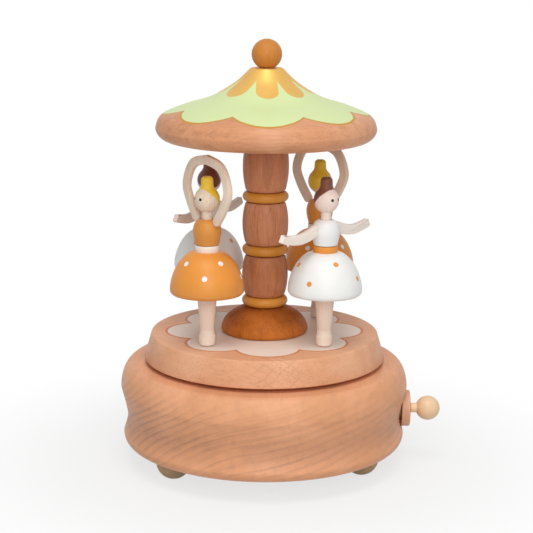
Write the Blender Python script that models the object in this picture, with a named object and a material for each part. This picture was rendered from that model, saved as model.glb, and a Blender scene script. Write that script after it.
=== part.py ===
"""Wooden music box with a crank, a turntable, four dancers and a canopy.

The origin is on the turntable's axis, at the underside of the base. +Z is up,
the crank sticks out along +X and the front looks along -Y. Sizes below are in
millimetres and angles in degrees, and the model is built in metres.
"""

import math

import bmesh
import bpy
from mathutils import Matrix, Vector

MM = 0.001
FIT = 0.3                    # gap between pieces that seat on or in each other

# Base body, built outwards from the hollow that holds the movement
MOVEMENT_ROOM = 0.65         # between the movement's far corner and the wall
COVER_LEDGE = 7.7            # step that the cover rests on
COVER_BORDER = 1.9           # wood that shows round the cover
LOWER_LOBE_SWELL = 3.6
GROOVE_DEPTH = 1.6
UPPER_LOBE_SWELL = 2.6
BASE_HEIGHT = 33.2
LOWER_LOBE_Z = 3.9
GROOVE_Z = 11.6
UPPER_LOBE_Z = 23.4
SHOULDER_WIDTH = 5.2
CEILING_THICKNESS = 7.6

# Bottom cover, feet and screws
COVER_THICKNESS = 2.5
FOOT_R = 7.0
FOOT_FLAT_R = 3.0
FOOT_REACH = 8.6             # from the underside down to the table
FOOT_FIRST_ANGLE = 65.0
FOOT_COUNT = 3
FOOT_PEG_R = 2.5
FOOT_RECESS = 1.0            # depth of the round recess that a foot sits in
FOOT_RECESS_EDGE = 1.0       # wood between that recess and the cover's edge
SCREW_R = 1.25
SCREW_HEAD_R = 2.4
SCREW_HEAD_HEIGHT = 1.1
COVER_SCREW_LENGTH = 10.5

# Platform
RUNNING_GAP = 1.6            # between the base and the platform
PLATFORM_THICKNESS = 10.4
PLATFORM_TOP_R = 45.9
PLATFORM_BOTTOM_R = 48.6
PLATFORM_EDGE = 0.7

# Spindle and its bush
SPINDLE_R = 2.0
SPINDLE_FLANGE_R = 9.0
SPINDLE_FLANGE_THICKNESS = 2.5
BUSH_WALL = 1.7
BUSH_FLANGE_R = 8.0

# Column
ROD_R = 3.0
ROD_SOCKET = 6.2             # depth of the rod's hole in the platform
DOME_R = 17.5
DOME_HEIGHT = 10.4
DOME_RISE = 10.6             # height that the full half ellipse would have
DOME_LIP = 0.9
RING_R = 9.2
RING_HEIGHT = 4.0
BARREL_R = 9.2
BARREL_END_R = 7.8
BARREL_LOWER_HEIGHT = 16.4
BARREL_MIDDLE_HEIGHT = 16.9
BARREL_UPPER_HEIGHT = 19.8

# Canopy roof and finial
ROOF_UNDERSIDE_R = 38.0
ROOF_RIM_R = 43.8
ROOF_RIM_Z = 5.1
ROOF_SHOULDER_R = 41.6
ROOF_SHOULDER_Z = 9.6
ROOF_EAVE_R = 33.3
ROOF_EAVE_Z = 13.4
ROOF_MIDDLE_R = 22.3
ROOF_MIDDLE_Z = 16.9
ROOF_NECK_R = 12.4
ROOF_NECK_Z = 22.8
ROOF_TOP_R = 6.3
ROOF_HEIGHT = 28.5
ROOF_SOCKET = 13.0           # depth of the rod's hole in the roof
FINIAL_R = 6.0
FINIAL_FLAT_R = 3.3
PEG_R = 1.5                  # small dowels of the finial and the dancers
PEG_LENGTH = 4.0

# Crank
CRANK_Z = 12.9
CRANK_RECESS_DEPTH = 3.2
CRANK_RECESS_R = 8.8
CRANK_DISC_R = 7.4
CRANK_DISC_THICKNESS = 3.5
CRANK_DISC_SOCKET = 2.3
CRANK_DISC_EDGE = 0.5
CRANK_SHAFT_R = 1.5
CRANK_BUSH_FLANGE_R = 5.2
CRANK_BUSH_FLANGE_THICKNESS = 0.7
KNOB_OFFSET = 4.0
KNOB_ANGLE = 161.0           # seen from the crank's end, from +Y towards +Z
KNOB_R = 4.95
KNOB_STEM_R = 1.95
KNOB_REACH = 7.1             # from the disc's face to the ball's centre
KNOB_TENON_R = 1.2
KNOB_TENON_LENGTH = 1.7

# Gears
MODULE = 0.7
PRESSURE_ANGLE = 20.0
ADDENDUM = 0.85              # in modules
DEDENDUM = 1.3               # in modules
BACKLASH = 0.12
CROWN_BACKLASH = 0.3         # face teeth need more room at their ends
PINION_TEETH = 10
CROWN_TEETH = 30
IDLER_TEETH = 14
CYLINDER_TEETH = 20
CROWN_FACE = 1.8
CROWN_WEB = 2.0
CROWN_HUB_R = 4.5
CROWN_HUB_HEIGHT = 3.0
PINION_FACE = 2.4
GEAR_FACE = 2.0
GEAR_TRAIN_X = 17.0

# Cylinder and comb
NOTES = 18
NOTE_PITCH = 1.05
CYLINDER_R = 6.5
PIN_HEIGHT = 0.5
PIN_WIDTH = 0.4
PINS_PER_NOTE = 2
BEATS = 20
ARBOR_R = 1.0
CYLINDER_GEAR_GAP = 1.05     # between the cylinder's end and its gear
COMB_THICKNESS = 0.9
COMB_DEPTH = 13.0
COMB_SLOT = 0.3
COMB_LONGEST_TOOTH = 9.0
COMB_SHORTEST_TOOTH = 5.2
COMB_SCREW_R = 0.9
COMB_SCREW_HEAD_R = 1.7
COMB_SCREW_SPREAD = 9.0
COMB_SCREW_LENGTH = 4.5

# Frame of the movement
BEDPLATE_THICKNESS = 1.5
LUG_THICKNESS = 1.6
LUG_RIM = 1.2                # metal around a bearing hole
FRAME_MARGIN = 2.4

# Dancers: heights are above the platform
DANCER_RING_R = 32.4
DANCERS = (
    ("front_left", -43.8, -50.0, "loop"),
    ("front_right", 46.2, 47.0, "spread"),
    ("back_right", 136.2, 138.0, "loop"),
    ("back_left", -133.8, -120.0, "spread"),
)
SHOE_R = 3.1
INSTEP_R = 3.35
INSTEP_Z = 4.0
ANKLE_R = 2.85
ANKLE_Z = 7.3
THIGH_R = 4.2
HEM_Z = 21.0
SKIRT_R = 14.5
SKIRT_WIDEST_Z = 22.7
HEM_R = 13.7
HEM_WIDTH = 1.0              # flat rim under the skirt
SKIRT_FULLNESS = 1.75        # 2 is an ellipse, 1 is a cone
SKIRT_HOLLOW = 2.8
WAIST_Z = 37.7
WAIST_R = 4.6
BAND_HEIGHT = 2.5
BODICE_HEIGHT = 9.8
BODICE_R = 5.5
SHOULDER_SHARE = 0.87        # of the bodice's radius, where the arms are glued on
NECK_R = 2.0
NECK_HEIGHT = 2.95
NECK_SOCKET = 4.0
HEAD_R = 4.95
HEAD_STRETCH = 1.04
BUN_R = 2.5
BUN_HEIGHT = 4.5
TENON_R = 2.0
TENON_LENGTH = 6.0
ARM_THICKNESS = 2.0
LOOP_WIDTH = 3.6
LOOP_HALF_SPAN = 12.7        # middle of the strip
LOOP_BOW = 1.2               # how far the elbows bend outwards
LOOP_WIDEST_Z = 62.9
LOOP_TOP_Z = 73.35
LOOP_END_Z = 50.1
SPREAD_WIDTH = 4.2
SPREAD_TIP_WIDTH = 3.2
SPREAD_TIP_X = 25.2
SPREAD_SHOULDER_Z = 46.9
SPREAD_DIP = 2.4
SPREAD_TIP_Z = 45.9
SPREAD_SLANT = 0.6           # how far the palm's end leans

# Facets round each kind of piece
LARGE_SEGMENTS = 36
MIDDLE_SEGMENTS = 20
SKIRT_SEGMENTS = 16
SMALL_SEGMENTS = 14
THIN_SEGMENTS = 10
TINY_SEGMENTS = 8
CURVE_STEPS = 2

# Places that follow from the sizes above
COVER_LEDGE_Z = COVER_THICKNESS + FIT
CEILING_Z = BASE_HEIGHT - CEILING_THICKNESS
PLATFORM_BOTTOM_Z = BASE_HEIGHT + RUNNING_GAP
PLATFORM_TOP_Z = PLATFORM_BOTTOM_Z + PLATFORM_THICKNESS
PINION_PITCH_R = MODULE * PINION_TEETH / 2
CROWN_PITCH_R = MODULE * CROWN_TEETH / 2
IDLER_PITCH_R = MODULE * IDLER_TEETH / 2
CYLINDER_PITCH_R = MODULE * CYLINDER_TEETH / 2
IDLER_Y = -(PINION_PITCH_R + IDLER_PITCH_R)
CYLINDER_Y = IDLER_Y - IDLER_PITCH_R - CYLINDER_PITCH_R
CROWN_TIP_Z = CRANK_Z + PINION_PITCH_R - ADDENDUM * MODULE
CROWN_ROOT_Z = CRANK_Z + PINION_PITCH_R + DEDENDUM * MODULE
CYLINDER_HALF = NOTES * NOTE_PITCH / 2 + FIT
CYLINDER_MIDDLE_X = GEAR_TRAIN_X - GEAR_FACE / 2 - CYLINDER_GEAR_GAP - CYLINDER_HALF
COMB_TIP_Y = CYLINDER_Y - CYLINDER_R - PIN_HEIGHT - FIT
COMB_BACK_Y = COMB_TIP_Y - COMB_DEPTH
COMB_RIGHT_X = CYLINDER_MIDDLE_X + (NOTES + 1) * NOTE_PITCH / 2
CAVITY_R = math.hypot(COMB_RIGHT_X, COMB_BACK_Y) + MOVEMENT_ROOM
COVER_R = CAVITY_R + COVER_LEDGE
BASE_UNDERSIDE_R = COVER_R + COVER_BORDER
LOWER_LOBE_R = BASE_UNDERSIDE_R + LOWER_LOBE_SWELL
GROOVE_R = LOWER_LOBE_R - GROOVE_DEPTH
UPPER_LOBE_R = GROOVE_R + UPPER_LOBE_SWELL
FOOT_RING_R = COVER_R - FOOT_RECESS_EDGE - FIT - FOOT_R
COVER_SCREW_RING_R = COVER_R - COVER_LEDGE / 2
CRANK_RECESS_X = UPPER_LOBE_R - CRANK_RECESS_DEPTH
BEDPLATE_BOTTOM_Z = COVER_THICKNESS + FIT
BEDPLATE_TOP_Z = BEDPLATE_BOTTOM_Z + BEDPLATE_THICKNESS
GEAR_LUG_X = GEAR_TRAIN_X + GEAR_FACE / 2 + 3 * FIT
FAR_LUG_X = CYLINDER_MIDDLE_X - CYLINDER_HALF - 2 * FIT - LUG_THICKNESS
INNER_LUG_X = CROWN_PITCH_R - PINION_FACE / 2 - 3 * FIT - LUG_THICKNESS
CRANK_DISC_X = CRANK_RECESS_X + CRANK_BUSH_FLANGE_THICKNESS + 2 * FIT
PINION_FIRST_TOOTH = 90.0    # it points up into a gap of the crown wheel
SCREW_SEAT_Z = 0.1           # screw heads lie this far inside the underside


# Helpers for points and curves

def smooth_curve(points, steps=CURVE_STEPS):
    """Return points on a smooth curve that passes through the given ones."""
    result = []
    last = len(points) - 1
    for index in range(last):
        before = points[max(index - 1, 0)]
        start = points[index]
        end = points[index + 1]
        after = points[min(index + 2, last)]
        for step in range(steps):
            t = step / steps
            result.append(tuple(
                0.5 * (2 * b + (c - a) * t + (2 * a - 5 * b + 4 * c - d) * t ** 2
                       + (3 * b - a - 3 * c + d) * t ** 3)
                for a, b, c, d in zip(before, start, end, after)))
    result.append(tuple(points[last]))
    return result


def arc(centre_u, centre_v, radius_u, radius_v, start, end, steps):
    """Return points on an elliptical arc, with its angles in degrees."""
    result = []
    for step in range(steps + 1):
        angle = math.radians(start + (end - start) * step / steps)
        result.append((centre_u + radius_u * math.cos(angle),
                       centre_v + radius_v * math.sin(angle)))
    return result


def circle(centre_u, centre_v, radius, steps):
    """Return the corners of a regular polygon round a centre."""
    return arc(centre_u, centre_v, radius, radius, 0, 360, steps)[:-1]


def on_ring(radius, angle):
    """Return x and y at an angle counted from the front towards +X."""
    return (radius * math.sin(math.radians(angle)),
            -radius * math.cos(math.radians(angle)))


# Helpers for objects

def material(name, colour, roughness, metallic=0.0):
    """Return a Principled material with a plain colour."""
    result = bpy.data.materials.new(name)
    result.use_nodes = True
    shader = result.node_tree.nodes["Principled BSDF"]
    shader.inputs["Base Color"].default_value = (*colour, 1.0)
    shader.inputs["Roughness"].default_value = roughness
    shader.inputs["Metallic"].default_value = metallic
    result.diffuse_color = (*colour, 1.0)
    return result


def axle(name):
    """Return an empty that carries the pieces of one moving body."""
    empty = bpy.data.objects.new(name, None)
    bpy.context.scene.collection.objects.link(empty)
    return empty


def finish_object(name, bm, mat, parent=None, smooth_angle=35.0):
    """Turn a bmesh in millimetres into a named object in metres."""
    bmesh.ops.remove_doubles(bm, verts=bm.verts, dist=1e-5)
    bmesh.ops.recalc_face_normals(bm, faces=bm.faces)
    bmesh.ops.scale(bm, vec=(MM, MM, MM), verts=bm.verts)
    mesh = bpy.data.meshes.new(name)
    bm.to_mesh(mesh)
    bm.free()
    mesh.shade_smooth()
    mesh.set_sharp_from_angle(angle=math.radians(smooth_angle))
    result = bpy.data.objects.new(name, mesh)
    bpy.context.scene.collection.objects.link(result)
    result.parent = parent
    if mat is not None:
        mesh.materials.append(mat)
    return result


def turn_into(bm, profile, segments):
    """Revolve a closed outline of (radius, height) points about Z."""
    rings = []
    for radius, height in profile:
        if radius < 1e-6:
            rings.append([bm.verts.new((0, 0, height))] * segments)
            continue
        ring = []
        for step in range(segments):
            angle = 2 * math.pi * step / segments
            ring.append(bm.verts.new((radius * math.cos(angle),
                                      radius * math.sin(angle), height)))
        rings.append(ring)
    for index, ring in enumerate(rings):
        other = rings[(index + 1) % len(rings)]
        if ring[0] is ring[1] and other[0] is other[1]:
            continue
        for step in range(segments):
            after = (step + 1) % segments
            corners = [ring[step], ring[after], other[after], other[step]]
            bm.faces.new(list(dict.fromkeys(corners)))


def turned(name, profile, segments, mat, parent=None):
    """Make a piece on the lathe."""
    bm = bmesh.new()
    turn_into(bm, profile, segments)
    return finish_object(name, bm, mat, parent)


def plate_into(bm, outline, holes, low, high):
    """Extrude a flat outline with holes from one height to another."""
    edges = []
    for loop in [outline, *holes]:
        corners = [bm.verts.new((u, v, low)) for u, v in loop]
        for index, corner in enumerate(corners):
            edges.append(bm.edges.new((corner, corners[(index + 1) % len(corners)])))
    filled = bmesh.ops.triangle_fill(bm, use_beauty=True, edges=edges)
    faces = [item for item in filled["geom"] if isinstance(item, bmesh.types.BMFace)]
    grown = bmesh.ops.extrude_face_region(bm, geom=faces)
    moved = [item for item in grown["geom"] if isinstance(item, bmesh.types.BMVert)]
    bmesh.ops.translate(bm, vec=(0, 0, high - low), verts=moved)


def plate(name, outline, holes, low, high, mat, parent=None):
    """Make a flat piece with straight walls."""
    bm = bmesh.new()
    plate_into(bm, outline, holes, low, high)
    return finish_object(name, bm, mat, parent)


def place(piece, x=0.0, y=0.0, z=0.0, turn=0.0):
    """Put a piece at a place in millimetres, turned about Z in degrees."""
    piece.location = Vector((x, y, z)) * MM
    piece.rotation_euler = (0, 0, math.radians(turn))
    return piece


def along_x(piece, x=0.0, y=0.0, z=0.0):
    """Lay a piece that was made along Z along +X, with its u axis on +Y."""
    basis = Matrix(((0, 0, 1), (1, 0, 0), (0, 1, 0))).to_4x4()
    basis.translation = Vector((x, y, z)) * MM
    piece.matrix_local = basis
    return piece


def change(piece, tool, operation):
    """Cut a piece with a tool, or join the tool to it."""
    tool.hide_render = True
    tool.display_type = "WIRE"
    modifier = piece.modifiers.new(tool.name, "BOOLEAN")
    modifier.operation = operation
    modifier.solver = "EXACT"
    modifier.object = tool


def hole_tool(name, radius, low, high, segments=TINY_SEGMENTS):
    """Return a straight round cutter along Z."""
    return turned(name, [(0, low), (radius, low), (radius, high), (0, high)], segments, None)


def screw(name, length, head_r, shank_r, head_height, mat, parent=None):
    """Make a screw along Z whose head lies below its seat at height 0."""
    profile = [
        (0, -head_height),
        (head_r * 0.7, -head_height),
        (head_r, 0),
        (shank_r, 0),
        (shank_r, length - shank_r),
        (0, length),
    ]
    return turned(name, profile, TINY_SEGMENTS, mat, parent)


# Gear teeth

def involute(angle):
    return math.tan(angle) - angle


def tooth_half_angle(radius, teeth):
    """Return half the angle that a tooth covers at a radius."""
    pitch_r = MODULE * teeth / 2
    pressure = math.radians(PRESSURE_ANGLE)
    base_r = pitch_r * math.cos(pressure)
    at_radius = math.acos(min(base_r / radius, 1.0))
    half = math.pi / (2 * teeth) - BACKLASH / (4 * pitch_r)
    return half + involute(pressure) - involute(at_radius)


def gear_outline(teeth, first_tooth):
    """Return a spur gear's outline with a tooth at the given angle."""
    pitch_r = MODULE * teeth / 2
    root_r = pitch_r - DEDENDUM * MODULE
    tip_r = pitch_r + ADDENDUM * MODULE
    flank = [(root_r, pitch_r), (tip_r, tip_r)]
    outline = []
    for tooth in range(teeth):
        middle = math.radians(first_tooth) + 2 * math.pi * tooth / teeth
        for radius, width_r in flank:
            angle = middle - tooth_half_angle(width_r, teeth)
            outline.append((radius * math.cos(angle), radius * math.sin(angle)))
        for radius, width_r in reversed(flank):
            angle = middle + tooth_half_angle(width_r, teeth)
            outline.append((radius * math.cos(angle), radius * math.sin(angle)))
    return outline


def next_first_tooth(teeth, first_tooth, next_teeth):
    """Return the first tooth of a gear that meshes on the -Y side of another.

    The first gear turns until a tooth points along -Y, and the next one turns
    with it until it has a gap there. Its first tooth is found by turning back.
    """
    to_contact = (180 - first_tooth) % (360 / teeth)
    return 180 / next_teeth + to_contact * teeth / next_teeth


def crown_teeth_tool(name, root_z):
    """Return the face teeth of the crown wheel, pointing down from root_z."""
    half = math.pi * MODULE / 4 - CROWN_BACKLASH / 2
    slope = math.tan(math.radians(PRESSURE_ANGLE))
    rise = root_z - (CRANK_Z + PINION_PITCH_R)
    tip_half = half - slope * ADDENDUM * MODULE
    root_half = half + slope * rise
    buried = CROWN_WEB / 2
    inner = CROWN_PITCH_R - CROWN_FACE / 2
    outer = CROWN_PITCH_R + CROWN_FACE / 2
    bm = bmesh.new()
    for tooth in range(CROWN_TEETH):
        turn = Matrix.Rotation(2 * math.pi * (tooth + 0.5) / CROWN_TEETH, 3, "Z")
        corners = {}
        for radius in (inner, outer):
            shift = radius / CROWN_PITCH_R
            section = [(-tip_half * shift, CROWN_TIP_Z), (tip_half * shift, CROWN_TIP_Z),
                       (root_half * shift, root_z), (root_half * shift, root_z + buried),
                       (-root_half * shift, root_z + buried), (-root_half * shift, root_z)]
            corners[radius] = [bm.verts.new(turn @ Vector((radius, side, z)))
                               for side, z in section]
        count = len(corners[inner])
        bm.faces.new(corners[inner])
        bm.faces.new(corners[outer])
        for index in range(count):
            after = (index + 1) % count
            bm.faces.new([corners[inner][index], corners[inner][after],
                          corners[outer][after], corners[outer][index]])
    return finish_object(name, bm, None)


# Base

def make_base(wood):
    outline = [
        (CAVITY_R, COVER_LEDGE_Z),
        (COVER_R + FIT, COVER_LEDGE_Z),
        (COVER_R + FIT, 0),
        (BASE_UNDERSIDE_R, 0),
    ]
    outline += arc(BASE_UNDERSIDE_R, LOWER_LOBE_Z, LOWER_LOBE_R - BASE_UNDERSIDE_R,
                   LOWER_LOBE_Z, -45, 0, 1)
    waist = smooth_curve([(LOWER_LOBE_R, LOWER_LOBE_Z), (GROOVE_R, GROOVE_Z),
                          (UPPER_LOBE_R, UPPER_LOBE_Z)], 4)
    outline += waist[1:-1]
    outline += arc(UPPER_LOBE_R - SHOULDER_WIDTH, UPPER_LOBE_Z, SHOULDER_WIDTH,
                   BASE_HEIGHT - UPPER_LOBE_Z, 0, 90, 5)
    outline += [(0, BASE_HEIGHT), (0, CEILING_Z), (CAVITY_R, CEILING_Z)]
    base = turned("base_body", outline, LARGE_SEGMENTS, wood)

    spindle_hole = hole_tool("spindle_hole_tool", SPINDLE_R + FIT + BUSH_WALL + FIT,
                             CEILING_Z - FIT, BASE_HEIGHT + FIT, SMALL_SEGMENTS)
    change(base, spindle_hole, "DIFFERENCE")
    recess = hole_tool("crank_recess_tool", CRANK_RECESS_R, CRANK_RECESS_X,
                       max(LOWER_LOBE_R, UPPER_LOBE_R) + FIT, SMALL_SEGMENTS)
    change(base, along_x(recess, z=CRANK_Z), "DIFFERENCE")
    bore_r = CRANK_SHAFT_R + FIT + BUSH_WALL + FIT
    bore = hole_tool("crank_bore_tool", bore_r, CAVITY_R / 2, CRANK_RECESS_X + FIT,
                     SMALL_SEGMENTS)
    change(base, along_x(bore, z=CRANK_Z), "DIFFERENCE")
    for number in range(FOOT_COUNT):
        depth = COVER_SCREW_LENGTH + SCREW_HEAD_HEIGHT + SCREW_SEAT_Z + FIT
        tool = hole_tool(f"cover_screw_hole_tool_{number + 1}", SCREW_R + FIT,
                         -FIT, depth)
        x, y = on_ring(COVER_SCREW_RING_R, cover_screw_angle(number))
        change(base, place(tool, x, y), "DIFFERENCE")


def foot_angle(number):
    return FOOT_FIRST_ANGLE + 360 / FOOT_COUNT * number


def cover_screw_angle(number):
    return foot_angle(number) + 180 / FOOT_COUNT


def frame_screw_places():
    """Return where the movement's frame is screwed to the cover."""
    behind_crank = PINION_PITCH_R + FRAME_MARGIN
    return [(FAR_LUG_X + 2 * FRAME_MARGIN, behind_crank),
            (GEAR_LUG_X - FRAME_MARGIN, behind_crank)]


def make_cover(wood, steel):
    bm = bmesh.new()
    holes = []
    for number in range(FOOT_COUNT):
        x, y = on_ring(FOOT_RING_R, foot_angle(number))
        holes.append(circle(x, y, FOOT_PEG_R + FIT, TINY_SEGMENTS))
    plate_into(bm, circle(0, 0, COVER_R, LARGE_SEGMENTS), holes, 0, COVER_THICKNESS)
    cover = finish_object("bottom_cover", bm, wood)
    for number in range(FOOT_COUNT):
        tool = hole_tool(f"foot_recess_tool_{number + 1}", FOOT_R + FIT, -FIT, FOOT_RECESS,
                         MIDDLE_SEGMENTS)
        change(cover, place(tool, *on_ring(FOOT_RING_R, foot_angle(number))), "DIFFERENCE")

    seat_z = SCREW_SEAT_Z + SCREW_HEAD_HEIGHT
    screws = []
    for number in range(FOOT_COUNT):
        place_xy = on_ring(COVER_SCREW_RING_R, cover_screw_angle(number))
        screws.append((f"cover_screw_{number + 1}", place_xy, COVER_SCREW_LENGTH))
    for number, place_xy in enumerate(frame_screw_places()):
        length = BEDPLATE_TOP_Z - seat_z
        screws.append((f"frame_screw_{number + 1}", place_xy, length))
    for name, (x, y), length in screws:
        piece = screw(name, length, SCREW_HEAD_R, SCREW_R, SCREW_HEAD_HEIGHT, steel)
        place(piece, x, y, seat_z)
        profile = [(0, -FIT), (SCREW_HEAD_R + FIT, -FIT),
                   (SCREW_HEAD_R + FIT, seat_z + FIT), (SCREW_R + FIT, seat_z + FIT),
                   (SCREW_R + FIT, COVER_THICKNESS + FIT), (0, COVER_THICKNESS + FIT)]
        tool = turned(f"{name}_hole_tool", profile, TINY_SEGMENTS, None)
        change(cover, place(tool, x, y), "DIFFERENCE")


def make_feet(wood):
    flat_angle = math.degrees(math.asin(FOOT_FLAT_R / FOOT_R))
    centre_z = -FOOT_REACH + FOOT_R * math.cos(math.radians(flat_angle))
    top_z = FOOT_RECESS - FIT
    top_angle = math.degrees(math.asin((top_z - centre_z) / FOOT_R))
    profile = [(0, -FOOT_REACH)]
    profile += arc(0, centre_z, FOOT_R, FOOT_R, flat_angle - 90, top_angle, 5)
    peg_top = COVER_THICKNESS - FIT
    profile += [(FOOT_PEG_R, top_z), (FOOT_PEG_R, peg_top), (0, peg_top)]
    for number in range(FOOT_COUNT):
        foot = turned(f"foot_{number + 1}", profile, SMALL_SEGMENTS, wood)
        place(foot, *on_ring(FOOT_RING_R, foot_angle(number)))


# Turntable

def make_platform(wood, table):
    flange_top = PLATFORM_BOTTOM_Z + SPINDLE_FLANGE_THICKNESS + FIT
    outline = [
        (0, flange_top),
        (SPINDLE_FLANGE_R + FIT, flange_top),
        (SPINDLE_FLANGE_R + FIT, PLATFORM_BOTTOM_Z),
        (PLATFORM_BOTTOM_R - PLATFORM_EDGE, PLATFORM_BOTTOM_Z),
        (PLATFORM_BOTTOM_R - PLATFORM_EDGE * 0.1, PLATFORM_BOTTOM_Z + PLATFORM_EDGE * 0.7),
        (PLATFORM_TOP_R + PLATFORM_EDGE * 0.1, PLATFORM_TOP_Z - PLATFORM_EDGE),
        (PLATFORM_TOP_R - PLATFORM_EDGE * 0.3, PLATFORM_TOP_Z - PLATFORM_EDGE * 0.3),
        (PLATFORM_TOP_R - PLATFORM_EDGE, PLATFORM_TOP_Z),
        (0, PLATFORM_TOP_Z),
    ]
    platform = turned("turntable_platform", outline, LARGE_SEGMENTS, wood, table)
    socket = hole_tool("rod_socket_tool", ROD_R + FIT, PLATFORM_TOP_Z - ROD_SOCKET,
                       PLATFORM_TOP_Z + FIT, THIN_SEGMENTS)
    change(platform, socket, "DIFFERENCE")
    for name, ring_angle, _, _ in DANCERS:
        low = PLATFORM_TOP_Z - PEG_LENGTH - FIT
        tool = hole_tool(f"{name}_peg_hole_tool", PEG_R + FIT, low, PLATFORM_TOP_Z + FIT)
        change(platform, place(tool, *on_ring(DANCER_RING_R, ring_angle)), "DIFFERENCE")


def make_spindle(steel, brass, table):
    flange_top = PLATFORM_BOTTOM_Z + SPINDLE_FLANGE_THICKNESS
    web_top = CROWN_ROOT_Z + CROWN_WEB
    outline = [
        (0, CROWN_ROOT_Z + FIT),
        (SPINDLE_R, CROWN_ROOT_Z + FIT),
        (SPINDLE_R, PLATFORM_BOTTOM_Z),
        (SPINDLE_FLANGE_R, PLATFORM_BOTTOM_Z),
        (SPINDLE_FLANGE_R, flange_top),
        (0, flange_top),
    ]
    turned("turntable_spindle", outline, SMALL_SEGMENTS, steel, table)

    flange_bottom = BASE_HEIGHT + FIT
    bush_r = SPINDLE_R + FIT + BUSH_WALL
    outline = [
        (SPINDLE_R + FIT, CEILING_Z),
        (bush_r, CEILING_Z),
        (bush_r, flange_bottom),
        (BUSH_FLANGE_R, flange_bottom),
        (BUSH_FLANGE_R, PLATFORM_BOTTOM_Z - FIT),
        (SPINDLE_R + FIT, PLATFORM_BOTTOM_Z - FIT),
    ]
    turned("spindle_bush", outline, SMALL_SEGMENTS, brass)

    rim_r = CROWN_PITCH_R + CROWN_FACE / 2 + FIT
    outline = [
        (SPINDLE_R + FIT, CROWN_ROOT_Z),
        (rim_r, CROWN_ROOT_Z),
        (rim_r, web_top),
        (CROWN_HUB_R, web_top),
        (CROWN_HUB_R, web_top + CROWN_HUB_HEIGHT),
        (SPINDLE_R + FIT, web_top + CROWN_HUB_HEIGHT),
    ]
    wheel = turned("crown_wheel", outline, SMALL_SEGMENTS, brass, table)
    change(wheel, crown_teeth_tool("crown_teeth_tool", CROWN_ROOT_Z), "UNION")


def barrel_profile(height):
    outline = [(ROD_R + FIT, 0)]
    steps = 5
    for step in range(steps + 1):
        swell = math.sin(math.pi * step / steps) ** 0.75
        outline.append((BARREL_END_R + (BARREL_R - BARREL_END_R) * swell,
                        height * step / steps))
    outline.append((ROD_R + FIT, height))
    return outline


def ring_profile():
    round_r = RING_HEIGHT / 2
    outline = [(ROD_R + FIT, 0)]
    outline += arc(RING_R - round_r, round_r, round_r, round_r, -90, 90, 4)
    outline.append((ROD_R + FIT, RING_HEIGHT))
    return outline


def dome_profile():
    outline = [(ROD_R + FIT, 0), (DOME_R - DOME_LIP * 0.6, 0)]
    end = math.degrees(math.asin((DOME_HEIGHT - DOME_LIP) / DOME_RISE))
    outline += arc(0, DOME_LIP, DOME_R, DOME_RISE, 0, end, 7)
    outline.append((ROD_R + FIT, DOME_HEIGHT))
    return outline


def make_column(red_wood, mustard, stain, beech, table):
    """Stack the column on the platform and return the roof's height."""
    parts = [
        ("column_dome_foot", dome_profile(), DOME_HEIGHT, stain, MIDDLE_SEGMENTS),
        ("column_ring_lower", ring_profile(), RING_HEIGHT, mustard, SMALL_SEGMENTS),
        ("column_barrel_lower", barrel_profile(BARREL_LOWER_HEIGHT),
         BARREL_LOWER_HEIGHT, red_wood, SMALL_SEGMENTS),
        ("column_ring_middle", ring_profile(), RING_HEIGHT, mustard, SMALL_SEGMENTS),
        ("column_barrel_middle", barrel_profile(BARREL_MIDDLE_HEIGHT),
         BARREL_MIDDLE_HEIGHT, red_wood, SMALL_SEGMENTS),
        ("column_ring_upper", ring_profile(), RING_HEIGHT, mustard, SMALL_SEGMENTS),
        ("column_barrel_upper", barrel_profile(BARREL_UPPER_HEIGHT),
         BARREL_UPPER_HEIGHT, red_wood, SMALL_SEGMENTS),
    ]
    height = PLATFORM_TOP_Z + FIT
    for name, profile, size, mat, segments in parts:
        place(turned(name, profile, segments, mat, table), z=height)
        height += size + FIT
    low = PLATFORM_TOP_Z - ROD_SOCKET + FIT
    high = height + ROOF_SOCKET - FIT
    outline = [(0, low), (ROD_R, low), (ROD_R, high), (0, high)]
    turned("column_rod", outline, TINY_SEGMENTS, beech, table)
    return height


def roof_outline():
    """Return the roof's outer curve from the underside to the top."""
    outline = arc(ROOF_UNDERSIDE_R, ROOF_RIM_Z, ROOF_RIM_R - ROOF_UNDERSIDE_R,
                  ROOF_RIM_Z, -90, 0, 3)
    outline += smooth_curve([
        (ROOF_RIM_R, ROOF_RIM_Z),
        (ROOF_SHOULDER_R, ROOF_SHOULDER_Z),
        (ROOF_EAVE_R, ROOF_EAVE_Z),
        (ROOF_MIDDLE_R, ROOF_MIDDLE_Z),
        (ROOF_NECK_R, ROOF_NECK_Z),
        (ROOF_TOP_R, ROOF_HEIGHT),
    ], 2)[1:]
    return outline


def make_roof(roof_z, wood, orange_wood, table):
    outline = [(0, 0), *roof_outline(), (0, ROOF_HEIGHT)]
    roof = place(turned("canopy_roof", outline, LARGE_SEGMENTS, wood, table), z=roof_z)
    rod_hole = hole_tool("roof_rod_hole_tool", ROD_R + FIT, -FIT, ROOF_SOCKET, THIN_SEGMENTS)
    peg_hole = hole_tool("roof_peg_hole_tool", PEG_R + FIT, ROOF_HEIGHT - PEG_LENGTH - FIT,
                         ROOF_HEIGHT + FIT)
    for tool in (rod_hole, peg_hole):
        change(roof, place(tool, z=roof_z), "DIFFERENCE")

    flat_angle = math.degrees(math.asin(FINIAL_FLAT_R / FINIAL_R))
    centre_z = FIT + FINIAL_R * math.cos(math.radians(flat_angle))
    outline = [(0, -PEG_LENGTH), (PEG_R, -PEG_LENGTH), (PEG_R, FIT)]
    outline += arc(0, centre_z, FINIAL_R, FINIAL_R, flat_angle - 90, 90, 7)[:-1]
    outline.append((0, centre_z + FINIAL_R))
    finial = turned("finial_ball", outline, SMALL_SEGMENTS, orange_wood, table)
    place(finial, z=roof_z + ROOF_HEIGHT)


# Dancers

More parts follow.
